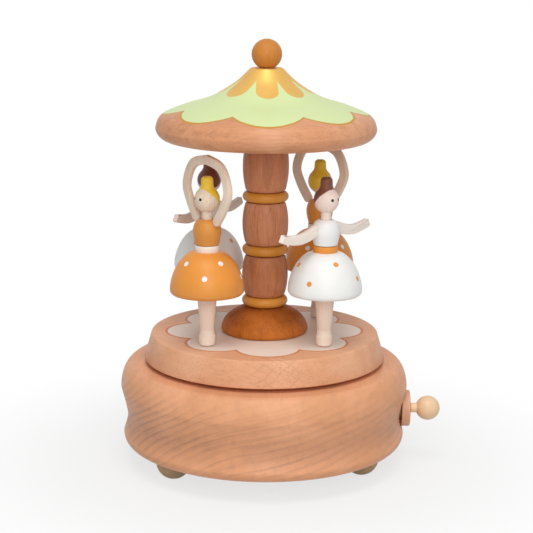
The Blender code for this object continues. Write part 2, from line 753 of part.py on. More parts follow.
def legs_profile():
    shoulder_z = HEM_Z + SKIRT_HOLLOW - FIT
    outline = [(0, -PEG_LENGTH), (PEG_R, -PEG_LENGTH), (PEG_R, FIT), (SHOE_R, FIT)]
    outline += smooth_curve([(INSTEP_R, INSTEP_Z), (ANKLE_R, ANKLE_Z),
                             (THIGH_R, shoulder_z)], 2)
    top = shoulder_z + TENON_LENGTH
    outline += [(TENON_R, shoulder_z), (TENON_R, top), (0, top)]
    return outline


def skirt_profile():
    hollow_z = HEM_Z + SKIRT_HOLLOW
    socket_z = hollow_z + TENON_LENGTH
    outline = [(0, socket_z), (TENON_R + FIT, socket_z), (TENON_R + FIT, hollow_z),
               (THIGH_R + 2 * FIT, hollow_z), (HEM_R - HEM_WIDTH, HEM_Z), (HEM_R, HEM_Z)]
    rise = WAIST_Z - SKIRT_WIDEST_Z
    spread = SKIRT_R - WAIST_R
    steps = 6
    for step in range(steps + 1):
        angle = math.pi / 2 * step / steps
        power = 2 / SKIRT_FULLNESS
        outline.append((WAIST_R + spread * math.cos(angle) ** power,
                        SKIRT_WIDEST_Z + rise * math.sin(angle) ** power))
    band_top = WAIST_Z + BAND_HEIGHT
    outline += [(WAIST_R, band_top), (0, band_top)]
    return outline


def bodice_profile():
    """Return the bodice above its seat on the waist band."""
    socket_z = BODICE_HEIGHT - NECK_SOCKET
    outline = [(0, 0)]
    outline += smooth_curve([
        (WAIST_R, 0),
        (BODICE_R, BODICE_HEIGHT * 0.48),
        (BODICE_R * SHOULDER_SHARE, BODICE_HEIGHT * 0.84),
        (NECK_R + 3 * FIT, BODICE_HEIGHT),
    ])
    outline += [(NECK_R + FIT, BODICE_HEIGHT), (NECK_R + FIT, socket_z), (0, socket_z)]
    return outline


def head_profile():
    """Return the neck, head and bun above the bodice's top."""
    neck_top = NECK_HEIGHT
    low = FIT - NECK_SOCKET
    tall_r = HEAD_R * HEAD_STRETCH
    neck_angle = math.degrees(math.acos(NECK_R / HEAD_R))
    centre_z = neck_top + tall_r * math.sin(math.radians(neck_angle))
    bun_angle = math.degrees(math.acos(BUN_R / HEAD_R))
    bun_z = centre_z + tall_r * math.sin(math.radians(bun_angle))
    outline = [(0, low), (NECK_R, low)]
    outline += arc(0, centre_z, HEAD_R, tall_r, -neck_angle, bun_angle, 6)
    round_r = BUN_R * 0.5
    outline += arc(BUN_R - round_r, bun_z + BUN_HEIGHT - round_r, round_r, round_r, 0, 90, 2)
    outline.append((0, bun_z + BUN_HEIGHT))
    return outline


def strip_outline(middle, widths):
    """Return the outline of a flat strip along a middle line."""
    left = []
    right = []
    last = len(middle) - 1
    for index, (point, width) in enumerate(zip(middle, widths)):
        before = Vector(middle[max(index - 1, 0)])
        after = Vector(middle[min(index + 1, last)])
        along = (after - before).normalized()
        side = Vector((-along.y, along.x)) * width / 2
        left.append(tuple(Vector(point) + side))
        right.append(tuple(Vector(point) - side))
    return left, right


def loop_outline():
    """Return the two arms joined overhead, in x and z."""
    end_x = BODICE_R * SHOULDER_SHARE + FIT + LOOP_WIDTH * 0.35
    half = smooth_curve([
        (end_x, LOOP_END_Z),
        ((end_x + LOOP_HALF_SPAN) / 2 + LOOP_BOW, (LOOP_END_Z + LOOP_WIDEST_Z) / 2),
        (LOOP_HALF_SPAN, LOOP_WIDEST_Z),
        (LOOP_HALF_SPAN * 0.68, LOOP_TOP_Z - (LOOP_TOP_Z - LOOP_WIDEST_Z) * 0.24),
        (0, LOOP_TOP_Z),
    ], 3)
    middle = half + [(-x, z) for x, z in reversed(half[:-1])]
    left, right = strip_outline(middle, [LOOP_WIDTH] * len(middle))
    first = arc(*middle[0], LOOP_WIDTH / 2, LOOP_WIDTH / 2, 0, -180, 5)[1:-1]
    last = arc(*middle[-1], LOOP_WIDTH / 2, LOOP_WIDTH / 2, 0, -180, 5)[1:-1]
    return first + left + last + right[::-1]


def spread_outline():
    """Return one stretched arm on the +x side, in x and z."""
    start_x = BODICE_R + FIT
    length = SPREAD_TIP_X - start_x
    middle = smooth_curve([
        (start_x, SPREAD_SHOULDER_Z),
        (start_x + length * 0.3, SPREAD_SHOULDER_Z - SPREAD_DIP * 0.8),
        (start_x + length * 0.6, SPREAD_SHOULDER_Z - SPREAD_DIP),
        (SPREAD_TIP_X, SPREAD_TIP_Z),
    ], 3)
    last = len(middle) - 1
    widths = [SPREAD_WIDTH + (SPREAD_TIP_WIDTH - SPREAD_WIDTH) * (index / last) ** 2
              for index in range(last + 1)]
    left, right = strip_outline(middle, widths)
    left[0] = (start_x, left[0][1])
    right[0] = (start_x, right[0][1])
    left[-1] = (left[-1][0] - SPREAD_SLANT, left[-1][1])
    right[-1] = (right[-1][0] + SPREAD_SLANT, right[-1][1] + SPREAD_SLANT)
    return left + right[::-1]


def arm_plate(name, outline, mat, parent):
    """Make a flat arm that stands upright in the dancer's own x and z."""
    half = ARM_THICKNESS / 2
    arm = plate(name, outline, [], -half, half, mat, parent)
    arm.rotation_euler = (math.radians(90), 0, 0)
    return arm


def make_dancers(woods, table):
    skin, orange, white = woods
    bodice_z = WAIST_Z + BAND_HEIGHT + FIT
    for name, ring_angle, facing, pose in DANCERS:
        stand = axle(f"{name}_dancer")
        stand.parent = table
        place(stand, *on_ring(DANCER_RING_R, ring_angle), PLATFORM_TOP_Z, facing)
        dress = orange if pose == "loop" else white
        turned(f"{name}_dancer_legs", legs_profile(), THIN_SEGMENTS, skin, stand)
        turned(f"{name}_dancer_skirt", skirt_profile(), SKIRT_SEGMENTS, dress, stand)
        bodice = turned(f"{name}_dancer_bodice", bodice_profile(), THIN_SEGMENTS, dress, stand)
        place(bodice, z=bodice_z)
        head = turned(f"{name}_dancer_head", head_profile(), SMALL_SEGMENTS, skin, stand)
        place(head, z=bodice_z + BODICE_HEIGHT)
        if pose == "loop":
            arm_plate(f"{name}_dancer_arms", loop_outline(), skin, stand)
            continue
        mirrored = [(-x, z) for x, z in reversed(spread_outline())]
        arm_plate(f"{name}_dancer_arm_left", spread_outline(), skin, stand)
        arm_plate(f"{name}_dancer_arm_right", mirrored, skin, stand)


# Crank

def make_crank(pale_wood, pink_wood, steel, brass, crank):
    socket_x = CRANK_DISC_X + CRANK_DISC_SOCKET
    outline = [
        (0, socket_x),
        (CRANK_SHAFT_R + FIT, socket_x),
        (CRANK_SHAFT_R + FIT, CRANK_DISC_X),
        (CRANK_DISC_R, CRANK_DISC_X),
        (CRANK_DISC_R, CRANK_DISC_X + CRANK_DISC_THICKNESS - CRANK_DISC_EDGE),
        (CRANK_DISC_R - CRANK_DISC_EDGE, CRANK_DISC_X + CRANK_DISC_THICKNESS),
        (0, CRANK_DISC_X + CRANK_DISC_THICKNESS),
    ]
    disc = turned("crank_disc", outline, MIDDLE_SEGMENTS, pink_wood, crank)
    along_x(disc)
    face_x = CRANK_DISC_X + CRANK_DISC_THICKNESS
    knob_y = KNOB_OFFSET * math.cos(math.radians(KNOB_ANGLE))
    knob_z = KNOB_OFFSET * math.sin(math.radians(KNOB_ANGLE))
    tool = hole_tool("knob_hole_tool", KNOB_TENON_R + FIT,
                     face_x - KNOB_TENON_LENGTH - FIT, face_x + FIT)
    tool.parent = crank
    change(disc, along_x(tool, y=knob_y, z=knob_z), "DIFFERENCE")

    ball_angle = math.degrees(math.asin(KNOB_STEM_R / KNOB_R))
    outline = [
        (0, -KNOB_TENON_LENGTH),
        (KNOB_TENON_R, -KNOB_TENON_LENGTH),
        (KNOB_TENON_R, FIT),
        (KNOB_STEM_R, FIT),
    ]
    outline += arc(0, KNOB_REACH, KNOB_R, KNOB_R, ball_angle - 90, 90, 7)[:-1]
    outline.append((0, KNOB_REACH + KNOB_R))
    knob = turned("crank_knob", outline, SMALL_SEGMENTS, pale_wood, crank)
    along_x(knob, x=face_x, y=knob_y, z=knob_z)

    start_x = INNER_LUG_X - FIT
    end_x = socket_x - FIT
    outline = [(0, start_x), (CRANK_SHAFT_R, start_x), (CRANK_SHAFT_R, end_x), (0, end_x)]
    along_x(turned("crank_shaft", outline, TINY_SEGMENTS, steel, crank))

    bore = circle(0, 0, CRANK_SHAFT_R + FIT, TINY_SEGMENTS)
    pinions = [("turntable_pinion", CROWN_PITCH_R, PINION_FACE),
               ("cylinder_pinion", GEAR_TRAIN_X, GEAR_FACE)]
    for name, middle_x, face in pinions:
        pinion = plate(name, gear_outline(PINION_TEETH, PINION_FIRST_TOOTH), [bore],
                       middle_x - face / 2, middle_x + face / 2, brass, crank)
        along_x(pinion)

    flange_x = CRANK_RECESS_X + FIT
    bush_r = CRANK_SHAFT_R + FIT + BUSH_WALL
    outline = [
        (CRANK_SHAFT_R + FIT, CAVITY_R),
        (bush_r, CAVITY_R),
        (bush_r, flange_x),
        (CRANK_BUSH_FLANGE_R, flange_x),
        (CRANK_BUSH_FLANGE_R, flange_x + CRANK_BUSH_FLANGE_THICKNESS),
        (CRANK_SHAFT_R + FIT, flange_x + CRANK_BUSH_FLANGE_THICKNESS),
    ]
    along_x(turned("crank_bush", outline, SMALL_SEGMENTS, brass), z=CRANK_Z)


# Movement

def note_x(note):
    """Return where a note's tooth and pins lie along the cylinder."""
    return CYLINDER_MIDDLE_X + (note - (NOTES - 1) / 2) * NOTE_PITCH


def pins_tool():
    """Return the cylinder's pins, spread by a plain rule and not a tune."""
    bm = bmesh.new()
    half = PIN_WIDTH / 2
    for note in range(NOTES):
        for stroke in range(PINS_PER_NOTE):
            beat = (note * 7 + stroke * (BEATS // PINS_PER_NOTE) + stroke * note % 5) % BEATS
            turn = Matrix.Rotation(2 * math.pi * (beat + 0.5) / BEATS, 3, "Z")
            faces = []
            for radius in (CYLINDER_R - PIN_HEIGHT, CYLINDER_R + PIN_HEIGHT):
                faces.append([bm.verts.new(turn @ Vector((radius, side * half,
                                                          note_x(note) + end * half)))
                              for side, end in ((-1, -1), (1, -1), (1, 1), (-1, 1))])
            inner, outer = faces
            bm.faces.new(inner)
            bm.faces.new(outer)
            for index in range(4):
                after = (index + 1) % 4
                bm.faces.new([inner[index], inner[after], outer[after], outer[index]])
    return finish_object("pins_tool", bm, None)


def make_cylinder(brass, drum):
    near_x = CYLINDER_MIDDLE_X + CYLINDER_HALF
    far_x = CYLINDER_MIDDLE_X - CYLINDER_HALF
    outline = [
        (0, FAR_LUG_X - FIT),
        (ARBOR_R, FAR_LUG_X - FIT),
        (ARBOR_R, far_x),
        (CYLINDER_R, far_x),
        (CYLINDER_R, near_x),
        (ARBOR_R, near_x),
        (ARBOR_R, GEAR_LUG_X + LUG_THICKNESS + FIT),
        (0, GEAR_LUG_X + LUG_THICKNESS + FIT),
    ]
    cylinder = turned("music_cylinder", outline, BEATS, brass, drum)
    pins = pins_tool()
    pins.parent = drum
    along_x(cylinder)
    along_x(pins)
    change(cylinder, pins, "UNION")
    bore = circle(0, 0, ARBOR_R + FIT, TINY_SEGMENTS)
    idler_first = next_first_tooth(PINION_TEETH, PINION_FIRST_TOOTH, IDLER_TEETH)
    first = next_first_tooth(IDLER_TEETH, idler_first, CYLINDER_TEETH)
    gear = plate("cylinder_gear", gear_outline(CYLINDER_TEETH, first), [bore],
                 GEAR_TRAIN_X - GEAR_FACE / 2, GEAR_TRAIN_X + GEAR_FACE / 2, brass, drum)
    along_x(gear)


def make_idler(brass, idler):
    first = next_first_tooth(PINION_TEETH, PINION_FIRST_TOOTH, IDLER_TEETH)
    gear = plate("idler_gear", gear_outline(IDLER_TEETH, first), [],
                 GEAR_TRAIN_X - GEAR_FACE / 2, GEAR_TRAIN_X + GEAR_FACE / 2, brass, idler)
    along_x(gear)
    end_x = GEAR_LUG_X + LUG_THICKNESS + FIT
    arbor = hole_tool("idler_arbor_tool", ARBOR_R, GEAR_TRAIN_X, end_x)
    arbor.parent = idler
    change(gear, along_x(arbor), "UNION")


def comb_screw_places():
    y = COMB_BACK_Y + (COMB_DEPTH - COMB_LONGEST_TOOTH) / 2
    return [(CYLINDER_MIDDLE_X + side * COMB_SCREW_SPREAD / 2, y) for side in (-1, 1)]


def make_comb(steel):
    tooth_half = (NOTE_PITCH - COMB_SLOT) / 2
    outline = []
    for note in range(NOTES):
        share = note / (NOTES - 1)
        length = COMB_LONGEST_TOOTH + (COMB_SHORTEST_TOOTH - COMB_LONGEST_TOOTH) * share
        left = note_x(note) - tooth_half
        right = note_x(note) + tooth_half
        outline += [(left, COMB_TIP_Y - length), (left, COMB_TIP_Y),
                    (right, COMB_TIP_Y), (right, COMB_TIP_Y - length)]
    outline[0] = (outline[0][0], COMB_BACK_Y)
    outline[-1] = (outline[-1][0], COMB_BACK_Y)
    holes = [circle(x, y, COMB_SCREW_R + FIT, TINY_SEGMENTS) for x, y in comb_screw_places()]
    low = CRANK_Z - COMB_THICKNESS / 2
    plate("comb", outline, holes, low, low + COMB_THICKNESS, steel)
    for number, (x, y) in enumerate(comb_screw_places()):
        piece = screw(f"comb_screw_{number + 1}", COMB_SCREW_LENGTH, COMB_SCREW_HEAD_R,
                      COMB_SCREW_R, COMB_THICKNESS, steel)
        place(piece, x, y, low + COMB_THICKNESS + FIT)
        piece.rotation_euler = (math.radians(180), 0, 0)


def lug_outline(centres, rim_r):
    """Return an upright lug in y and z that wraps round its bearings."""
    left_y = min(y for y, _ in centres) - rim_r
    right_y = max(y for y, _ in centres) + rim_r
    foot_z = BEDPLATE_BOTTOM_Z + BEDPLATE_THICKNESS / 2
    outline = [(left_y, foot_z), (right_y, foot_z)]
    outline += arc(right_y - rim_r, CRANK_Z, rim_r, rim_r, 0, 90, 4)
    outline += arc(left_y + rim_r, CRANK_Z, rim_r, rim_r, 90, 180, 4)
    return outline


def make_frame(brass):
    """Make the one-piece casting that carries the whole movement."""
    left = FAR_LUG_X
    right = GEAR_LUG_X + LUG_THICKNESS
    back_y = PINION_PITCH_R + 2 * FRAME_MARGIN
    outline = [
        (left, back_y),
        (left, COMB_TIP_Y),
        (note_x(0) - NOTE_PITCH, COMB_BACK_Y),
        (COMB_RIGHT_X, COMB_BACK_Y),
        (right, COMB_TIP_Y),
        (right, back_y),
    ]
    holes = [circle(x, y, SCREW_R + FIT, TINY_SEGMENTS) for x, y in frame_screw_places()]
    frame = plate("movement_frame", outline, holes, BEDPLATE_BOTTOM_Z, BEDPLATE_TOP_Z, brass)

    arbor_hole = ARBOR_R + FIT
    shaft_hole = CRANK_SHAFT_R + FIT
    rim_r = shaft_hole + LUG_RIM
    lugs = [
        ("far_lug_tool", FAR_LUG_X, [(CYLINDER_Y, arbor_hole)]),
        ("gear_lug_tool", GEAR_LUG_X,
         [(CYLINDER_Y, arbor_hole), (IDLER_Y, arbor_hole), (0, shaft_hole)]),
        ("inner_lug_tool", INNER_LUG_X, [(0, shaft_hole)]),
    ]
    for name, x, bearings in lugs:
        cuts = [circle(y, CRANK_Z, radius, TINY_SEGMENTS) for y, radius in bearings]
        lug = plate(name, lug_outline(bearings, rim_r), cuts, x, x + LUG_THICKNESS, None)
        change(frame, along_x(lug), "UNION")

    comb_low = CRANK_Z - COMB_THICKNESS / 2 - FIT
    front_y = COMB_BACK_Y + COMB_DEPTH - COMB_LONGEST_TOOTH - FIT
    block = [(note_x(0) - NOTE_PITCH / 2, COMB_BACK_Y + FIT),
             (note_x(NOTES - 1) + NOTE_PITCH / 2, COMB_BACK_Y + FIT),
             (note_x(NOTES - 1) + NOTE_PITCH / 2, front_y),
             (note_x(0) - NOTE_PITCH / 2, front_y)]
    foot_z = BEDPLATE_BOTTOM_Z + BEDPLATE_THICKNESS / 2
    change(frame, plate("comb_bed_tool", block, [], foot_z, comb_low, None), "UNION")
    for number, (x, y) in enumerate(comb_screw_places()):
        low = CRANK_Z + COMB_THICKNESS / 2 - COMB_SCREW_LENGTH - FIT
        tool = hole_tool(f"comb_screw_hole_tool_{number + 1}", COMB_SCREW_R + FIT,
                         low, comb_low + FIT)
        change(frame, place(tool, x, y), "DIFFERENCE")


def main():
    for old in list(bpy.data.objects):
        bpy.data.objects.remove(old, do_unlink=True)

    beech = material("natural beech", (0.72, 0.47, 0.30), 0.55)
    foot_wood = material("olive foot wood", (0.45, 0.36, 0.20), 0.55)
    red_wood = material("reddish column wood", (0.45, 0.20, 0.11), 0.5)
    stain = material("orange-brown stain", (0.42, 0.15, 0.04), 0.4)
    mustard = material("mustard paint", (0.60, 0.29, 0.04), 0.5)
    orange_wood = material("orange tan finial", (0.62, 0.32, 0.12), 0.45)
    green = material("pale green paint", (0.68, 0.83, 0.52), 0.5)
    orange = material("orange dress paint", (0.78, 0.35, 0.06), 0.45)
    white = material("white dress paint", (0.85, 0.85, 0.83), 0.45)
    skin = material("pale skin wood", (0.82, 0.64, 0.50), 0.6)
    pale_wood = material("pale knob wood", (0.85, 0.65, 0.42), 0.5)
    pink_wood = material("pinkish disc wood", (0.72, 0.42, 0.30), 0.55)
    plywood = material("plywood cover", (0.70, 0.52, 0.33), 0.7)
    steel = material("bright steel", (0.60, 0.60, 0.60), 0.35, 1.0)
    brass = material("brass", (0.75, 0.58, 0.28), 0.35, 1.0)

    table = axle("turntable_axis")
    crank = place(axle("crank_axis"), z=CRANK_Z)
    drum = place(axle("cylinder_axis"), y=CYLINDER_Y, z=CRANK_Z)
    idler = place(axle("idler_axis"), y=IDLER_Y, z=CRANK_Z)

    make_base(beech)
    make_cover(plywood, steel)
    make_feet(foot_wood)
    make_platform(beech, table)
    make_spindle(steel, brass, table)
    roof_z = make_column(red_wood, mustard, stain, beech, table)
    make_roof(roof_z, green, orange_wood, table)
    make_dancers((skin, orange, white), table)
    make_crank(pale_wood, pink_wood, steel, brass, crank)
    make_cylinder(brass, drum)
    make_idler(brass, idler)
    make_comb(steel)
    make_frame(brass)


main()
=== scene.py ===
"""Dress the music box: finely turned woods and paints, doll dancers, studio and camera.

Sizes are in millimetres, those of the studio in metres, and angles in degrees, all in
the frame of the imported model. The origin is on the turntable's axis at the underside,
+Z is up and the front looks along -Y. Angles round the axis are counted from the front
towards +X.
"""

import logging
import math
from collections.abc import Iterable
from dataclasses import KW_ONLY, dataclass, replace
from enum import Enum
from functools import reduce
from operator import or_

import bmesh
import bpy
from mathutils import Matrix, Vector


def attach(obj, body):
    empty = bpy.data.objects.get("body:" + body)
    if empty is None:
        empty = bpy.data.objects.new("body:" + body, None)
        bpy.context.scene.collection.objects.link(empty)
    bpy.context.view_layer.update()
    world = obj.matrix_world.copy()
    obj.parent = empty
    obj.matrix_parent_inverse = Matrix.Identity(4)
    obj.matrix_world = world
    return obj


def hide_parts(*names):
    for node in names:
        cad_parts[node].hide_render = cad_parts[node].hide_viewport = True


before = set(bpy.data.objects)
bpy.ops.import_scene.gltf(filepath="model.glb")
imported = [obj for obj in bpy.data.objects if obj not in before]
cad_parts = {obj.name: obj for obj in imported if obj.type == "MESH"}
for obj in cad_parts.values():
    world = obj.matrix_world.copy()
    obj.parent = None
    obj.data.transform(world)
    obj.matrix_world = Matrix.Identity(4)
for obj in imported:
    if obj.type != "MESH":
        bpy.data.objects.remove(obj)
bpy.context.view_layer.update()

MM = 0.001                   # metres in a millimetre
FIT = 0.3                    # gap between pieces
OVER = 1.0                   # how far a cutter reaches past what it cuts
SAME = 1e-5                  # millimetres between points that count as one
CLOSE = 1e-6                 # metres between points that count as one after a bore
SHARP = 35.0                 # angle above which the edge of a turned piece stays sharp
SAWN_SHARP = 30.0            # the same for a sawn piece
SAWN_CORNER = 60.0           # angle above which an edge of a sawn piece is rounded
SAWN_EDGE = 0.32             # how far it is rounded
ALONG_X = Matrix(((0, 0, 1), (1, 0, 0), (0, 1, 0))).to_4x4()      # lays an upright axis along +X

Point = tuple[float, float]
Place = tuple[float, float, float]
Colour = tuple[float, float, float]
LOG = logging.getLogger("music_box")


class Body(Enum):
    """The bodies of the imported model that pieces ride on."""

    BASE = "base"
    TURNTABLE = "turntable"
    CRANK = "crank"


class Slot(Enum):
    """The imported model's material slots that new pieces name in their seats."""

    BEECH = "natural_beech"
    OLIVE = "olive_wood"
    REDDISH = "reddish_wood"
    STAIN = "orange_brown_stain"
    MUSTARD = "mustard_paint"
    ORANGE_TAN = "orange_tan_wood"
    GREEN = "pale_green_paint"
    ORANGE = "orange_paint"
    WHITE = "white_paint"
    SKIN = "pale_skin_wood"
    PALE = "pale_wood"
    PINKISH = "pinkish_wood"
    PLYWOOD = "plywood"
    STEEL = "bright_steel"
    BRASS = "brass"


class Grain(Enum):
    """The direction that the fibres of a piece of wood run in."""

    ACROSS = (1.0, 0.0, 0.0)
    DEEP = (0.0, 1.0, 0.0)
    UPRIGHT = (0.0, 0.0, 1.0)

    def stretch(self, along: float, across: float) -> Place:
        """Return how often something varies along the fibres and across them."""
        return tuple(along if axis else across for axis in self.value)


class Arms(Enum):
    """How a dancer holds its arms."""

    LOOP = "joined overhead"
    SPREAD = "stretched out"


class Dress(Enum):
    """The two ways that the dancers are painted."""

    ORANGE = "orange with white dots"
    WHITE = "white with orange dots"


# Curves

def smooth_curve(points: list[Point], steps: int = 12) -> list[Point]:
    """Draw a smooth curve through points.

    Args:
        points: The points that the curve passes through.
        steps: How many pieces each stretch between two points is cut into.

    Returns:
        Points along the curve, with the first and the last given point.
    """
    result = []
    last = len(points) - 1
    for index in range(last):
        before = points[max(index - 1, 0)]
        start = points[index]
        end = points[index + 1]
        after = points[min(index + 2, last)]
        for step in range(steps):
            t = step / steps
            result.append(tuple(
                0.5 * (2 * b + (c - a) * t + (2 * a - 5 * b + 4 * c - d) * t ** 2
                       + (3 * b - a - 3 * c + d) * t ** 3)
                for a, b, c, d in zip(before, start, end, after)))
    result.append(tuple(points[last]))
    return result


def arc(centre: Point, radii: Point, start: float, end: float, steps: int = 16) -> list[Point]:
    """Draw an arc of a circle or an ellipse.

    Args:
        centre: The middle of the arc.
        radii: Its half sizes along the two directions.
        start: The first angle.
        end: The last angle.
        steps: How many pieces the arc is cut into.

    Returns:
        Points along the arc.
    """
    angles = [math.radians(start + (end - start) * step / steps) for step in range(steps + 1)]
    return [(centre[0] + radii[0] * math.cos(angle), centre[1] + radii[1] * math.sin(angle))
            for angle in angles]


def on_ring(radius: float, angle: float) -> Point:
    """Find a place on a ring round the turntable's axis.

    Args:
        radius: The ring's radius.
        angle: The angle from the front towards +X.

    Returns:
        The place's x and y.
    """
    return (radius * math.sin(math.radians(angle)), -radius * math.cos(math.radians(angle)))


def strip(middle: list[Point], widths: list[float]) -> tuple[list[Point], list[Point]]:
    """Give a bent strip its two edges.

    Args:
        middle: The strip's middle line.
        widths: The strip's width at each of those points.

    Returns:
        The left edge and the right edge, both from the first point to the last.
    """
    left = []
    right = []
    last = len(middle) - 1
    for index, (point, width) in enumerate(zip(middle, widths)):
        before = Vector(middle[max(index - 1, 0)])
        after = Vector(middle[min(index + 1, last)])
        along = (after - before).normalized()
        side = Vector((-along.y, along.x)) * width / 2
        left.append(tuple(Vector(point) + side))
        right.append(tuple(Vector(point) - side))
    return left, right


def mirrored(outline: list[Point]) -> list[Point]:
    """Return an outline mirrored left to right, in the opposite order."""
    return [(-x, z) for x, z in reversed(outline)]


# Nodes of a finish

class Nodes:
    """The nodes of a material or of the surroundings, started afresh."""

    def __init__(self, tree: bpy.types.NodeTree) -> None:
        """Clear the nodes.

        Args:
            tree: The nodes to fill.
        """
        self.tree = tree
        tree.nodes.clear()

    def new(self, kind: str) -> bpy.types.Node:
        """Add a node of a kind."""
        return self.tree.nodes.new("ShaderNode" + kind)

    def plug(self, node: bpy.types.Node, inputs: dict[int | str, object],
             output: int | str = 0) -> "Value":
        """Plug what goes into a node.

        Args:
            node: The node.
            inputs: A number, a colour or a value for each input, by its name or place.
            output: The output that is wanted.

        Returns:
            What the node gives.
        """
        for key, given in inputs.items():
            target = node.inputs[key]
            if isinstance(given, Value):
                self.tree.links.new(given.socket, target)
            elif target.type == "RGBA":
                target.default_value = (*given, 1.0)
            else:
                target.default_value = given
        return Value(self, node.outputs[output])

    def show(self, output: str, shader: "Value") -> None:
        """Put a shader on the output.

        Args:
            output: The kind of the output's node.
            shader: The shader that is shown.
        """
        self.tree.links.new(shader.socket, self.new(output).inputs[0])

    def seen_directly(self) -> "Value":
        """Mark the rays that show a surface directly, in a mirror or through glass.

        Returns:
            A mark that is 1 for those rays.
        """
        rays = self.new("LightPath")
        return (self.plug(rays, {}, "Is Camera Ray") | self.plug(rays, {}, "Is Glossy Ray")
                | self.plug(rays, {}, "Is Transmission Ray"))


@dataclass(frozen=True)
class Value:
    """A number or vector that nodes work out all over the surface; a sum on it adds a node."""

    nodes: Nodes
    socket: bpy.types.NodeSocket

    def do(self, operation: str, other: "float | Value" = 0.0) -> "Value":
        """Do a sum that goes by a name.

        Args:
            operation: The sum's name.
            other: The second number, where the sum has two.

        Returns:
            The result.
        """
        node = self.nodes.new("Math")
        node.operation = operation
        return self.nodes.plug(node, {0: self, 1: other})

    def __add__(self, other: "float | Value") -> "Value":
        """Add a number."""
        return self.do("ADD", other)

    def __sub__(self, other: "float | Value") -> "Value":
        """Take a number away."""
        return self.do("SUBTRACT", other)

    def __mul__(self, other: "float | Value") -> "Value":
        """Multiply by a number, or mark where two marks overlap."""
        return self.do("MULTIPLY", other)

    def __or__(self, other: "Value") -> "Value":
        """Mark where either of two marks is."""
        return self.do("MAXIMUM", other)

    def hypot(self, other: "Value") -> "Value":
        """Measure the slanting side of a right angle with these two sides."""
        return (self * self + other * other).do("SQRT")

    def vector(self, operation: str, other: Place = (0.0, 0.0, 0.0)) -> "Value":
        """Do a sum on a vector.

        Args:
            operation: The sum's name.
            other: The second vector, where the sum has two.

        Returns:
            A number for a dot product, distance or length, and a vector for the rest.
        """
        node = self.nodes.new("VectorMath")
        node.operation = operation
        is_number = operation in ("DOT_PRODUCT", "DISTANCE", "LENGTH")
        return self.nodes.plug(node, {0: self, 1: other}, "Value" if is_number else "Vector")

    def step(self, low: float, high: float) -> "Value":
        """Rise smoothly from 0 to 1.

        Args:
            low: Where the result is still 0.
            high: Where it is 1; a high below low makes it fall instead.

        Returns:
            The result.
        """
        node = self.nodes.new("MapRange")
        node.interpolation_type = "SMOOTHSTEP"
        return self.nodes.plug(node, {
            "Value": self, "From Min": min(low, high), "From Max": max(low, high),
            "To Min": float(high < low), "To Max": float(high >= low)})

    def below(self, limit: float, soft: float = 0.08) -> "Value":
        """Mark where the value lies below a limit, with a soft edge."""
        return self.step(limit + soft, limit - soft)

    def above(self, limit: float, soft: float = 0.08) -> "Value":
        """Mark where the value lies above a limit, with a soft edge."""
        return self.step(limit - soft, limit + soft)

    def blend(self, first: "float | Value", second: "float | Value") -> "Value":
        """Give the first number where this mark is 0 and the second where it is 1."""
        return self.nodes.plug(self.nodes.new("Mix"), {0: self, 2: first, 3: second})

    def mix(self, first: "Colour | Value", second: "Colour | Value") -> "Value":
        """Blend two colours.

        Args:
            first: The colour where this mark is 0.
            second: The colour where it is 1.

        Returns:
            The blended colour.
        """
        node = self.nodes.new("Mix")
        node.data_type = "RGBA"
        return self.nodes.plug(node, {0: self, 6: first, 7: second}, 2)


@dataclass(frozen=True)
class Layer:
    """What the coats of a finish give the surface."""

    colour: Value
    roughness: Value
    height: Value
    metallic: float | Value = 0.0

    def under(self, upper: "Layer", mark: Value) -> "Layer":
        """Lay another coat over this one.

        Args:
            upper: The coat on top.
            mark: Where it covers.

        Returns:
            The two coats as one.
        """
        return Layer(mark.mix(self.colour, upper.colour),
                     mark.blend(self.roughness, upper.roughness),
                     mark.blend(self.height, upper.height))


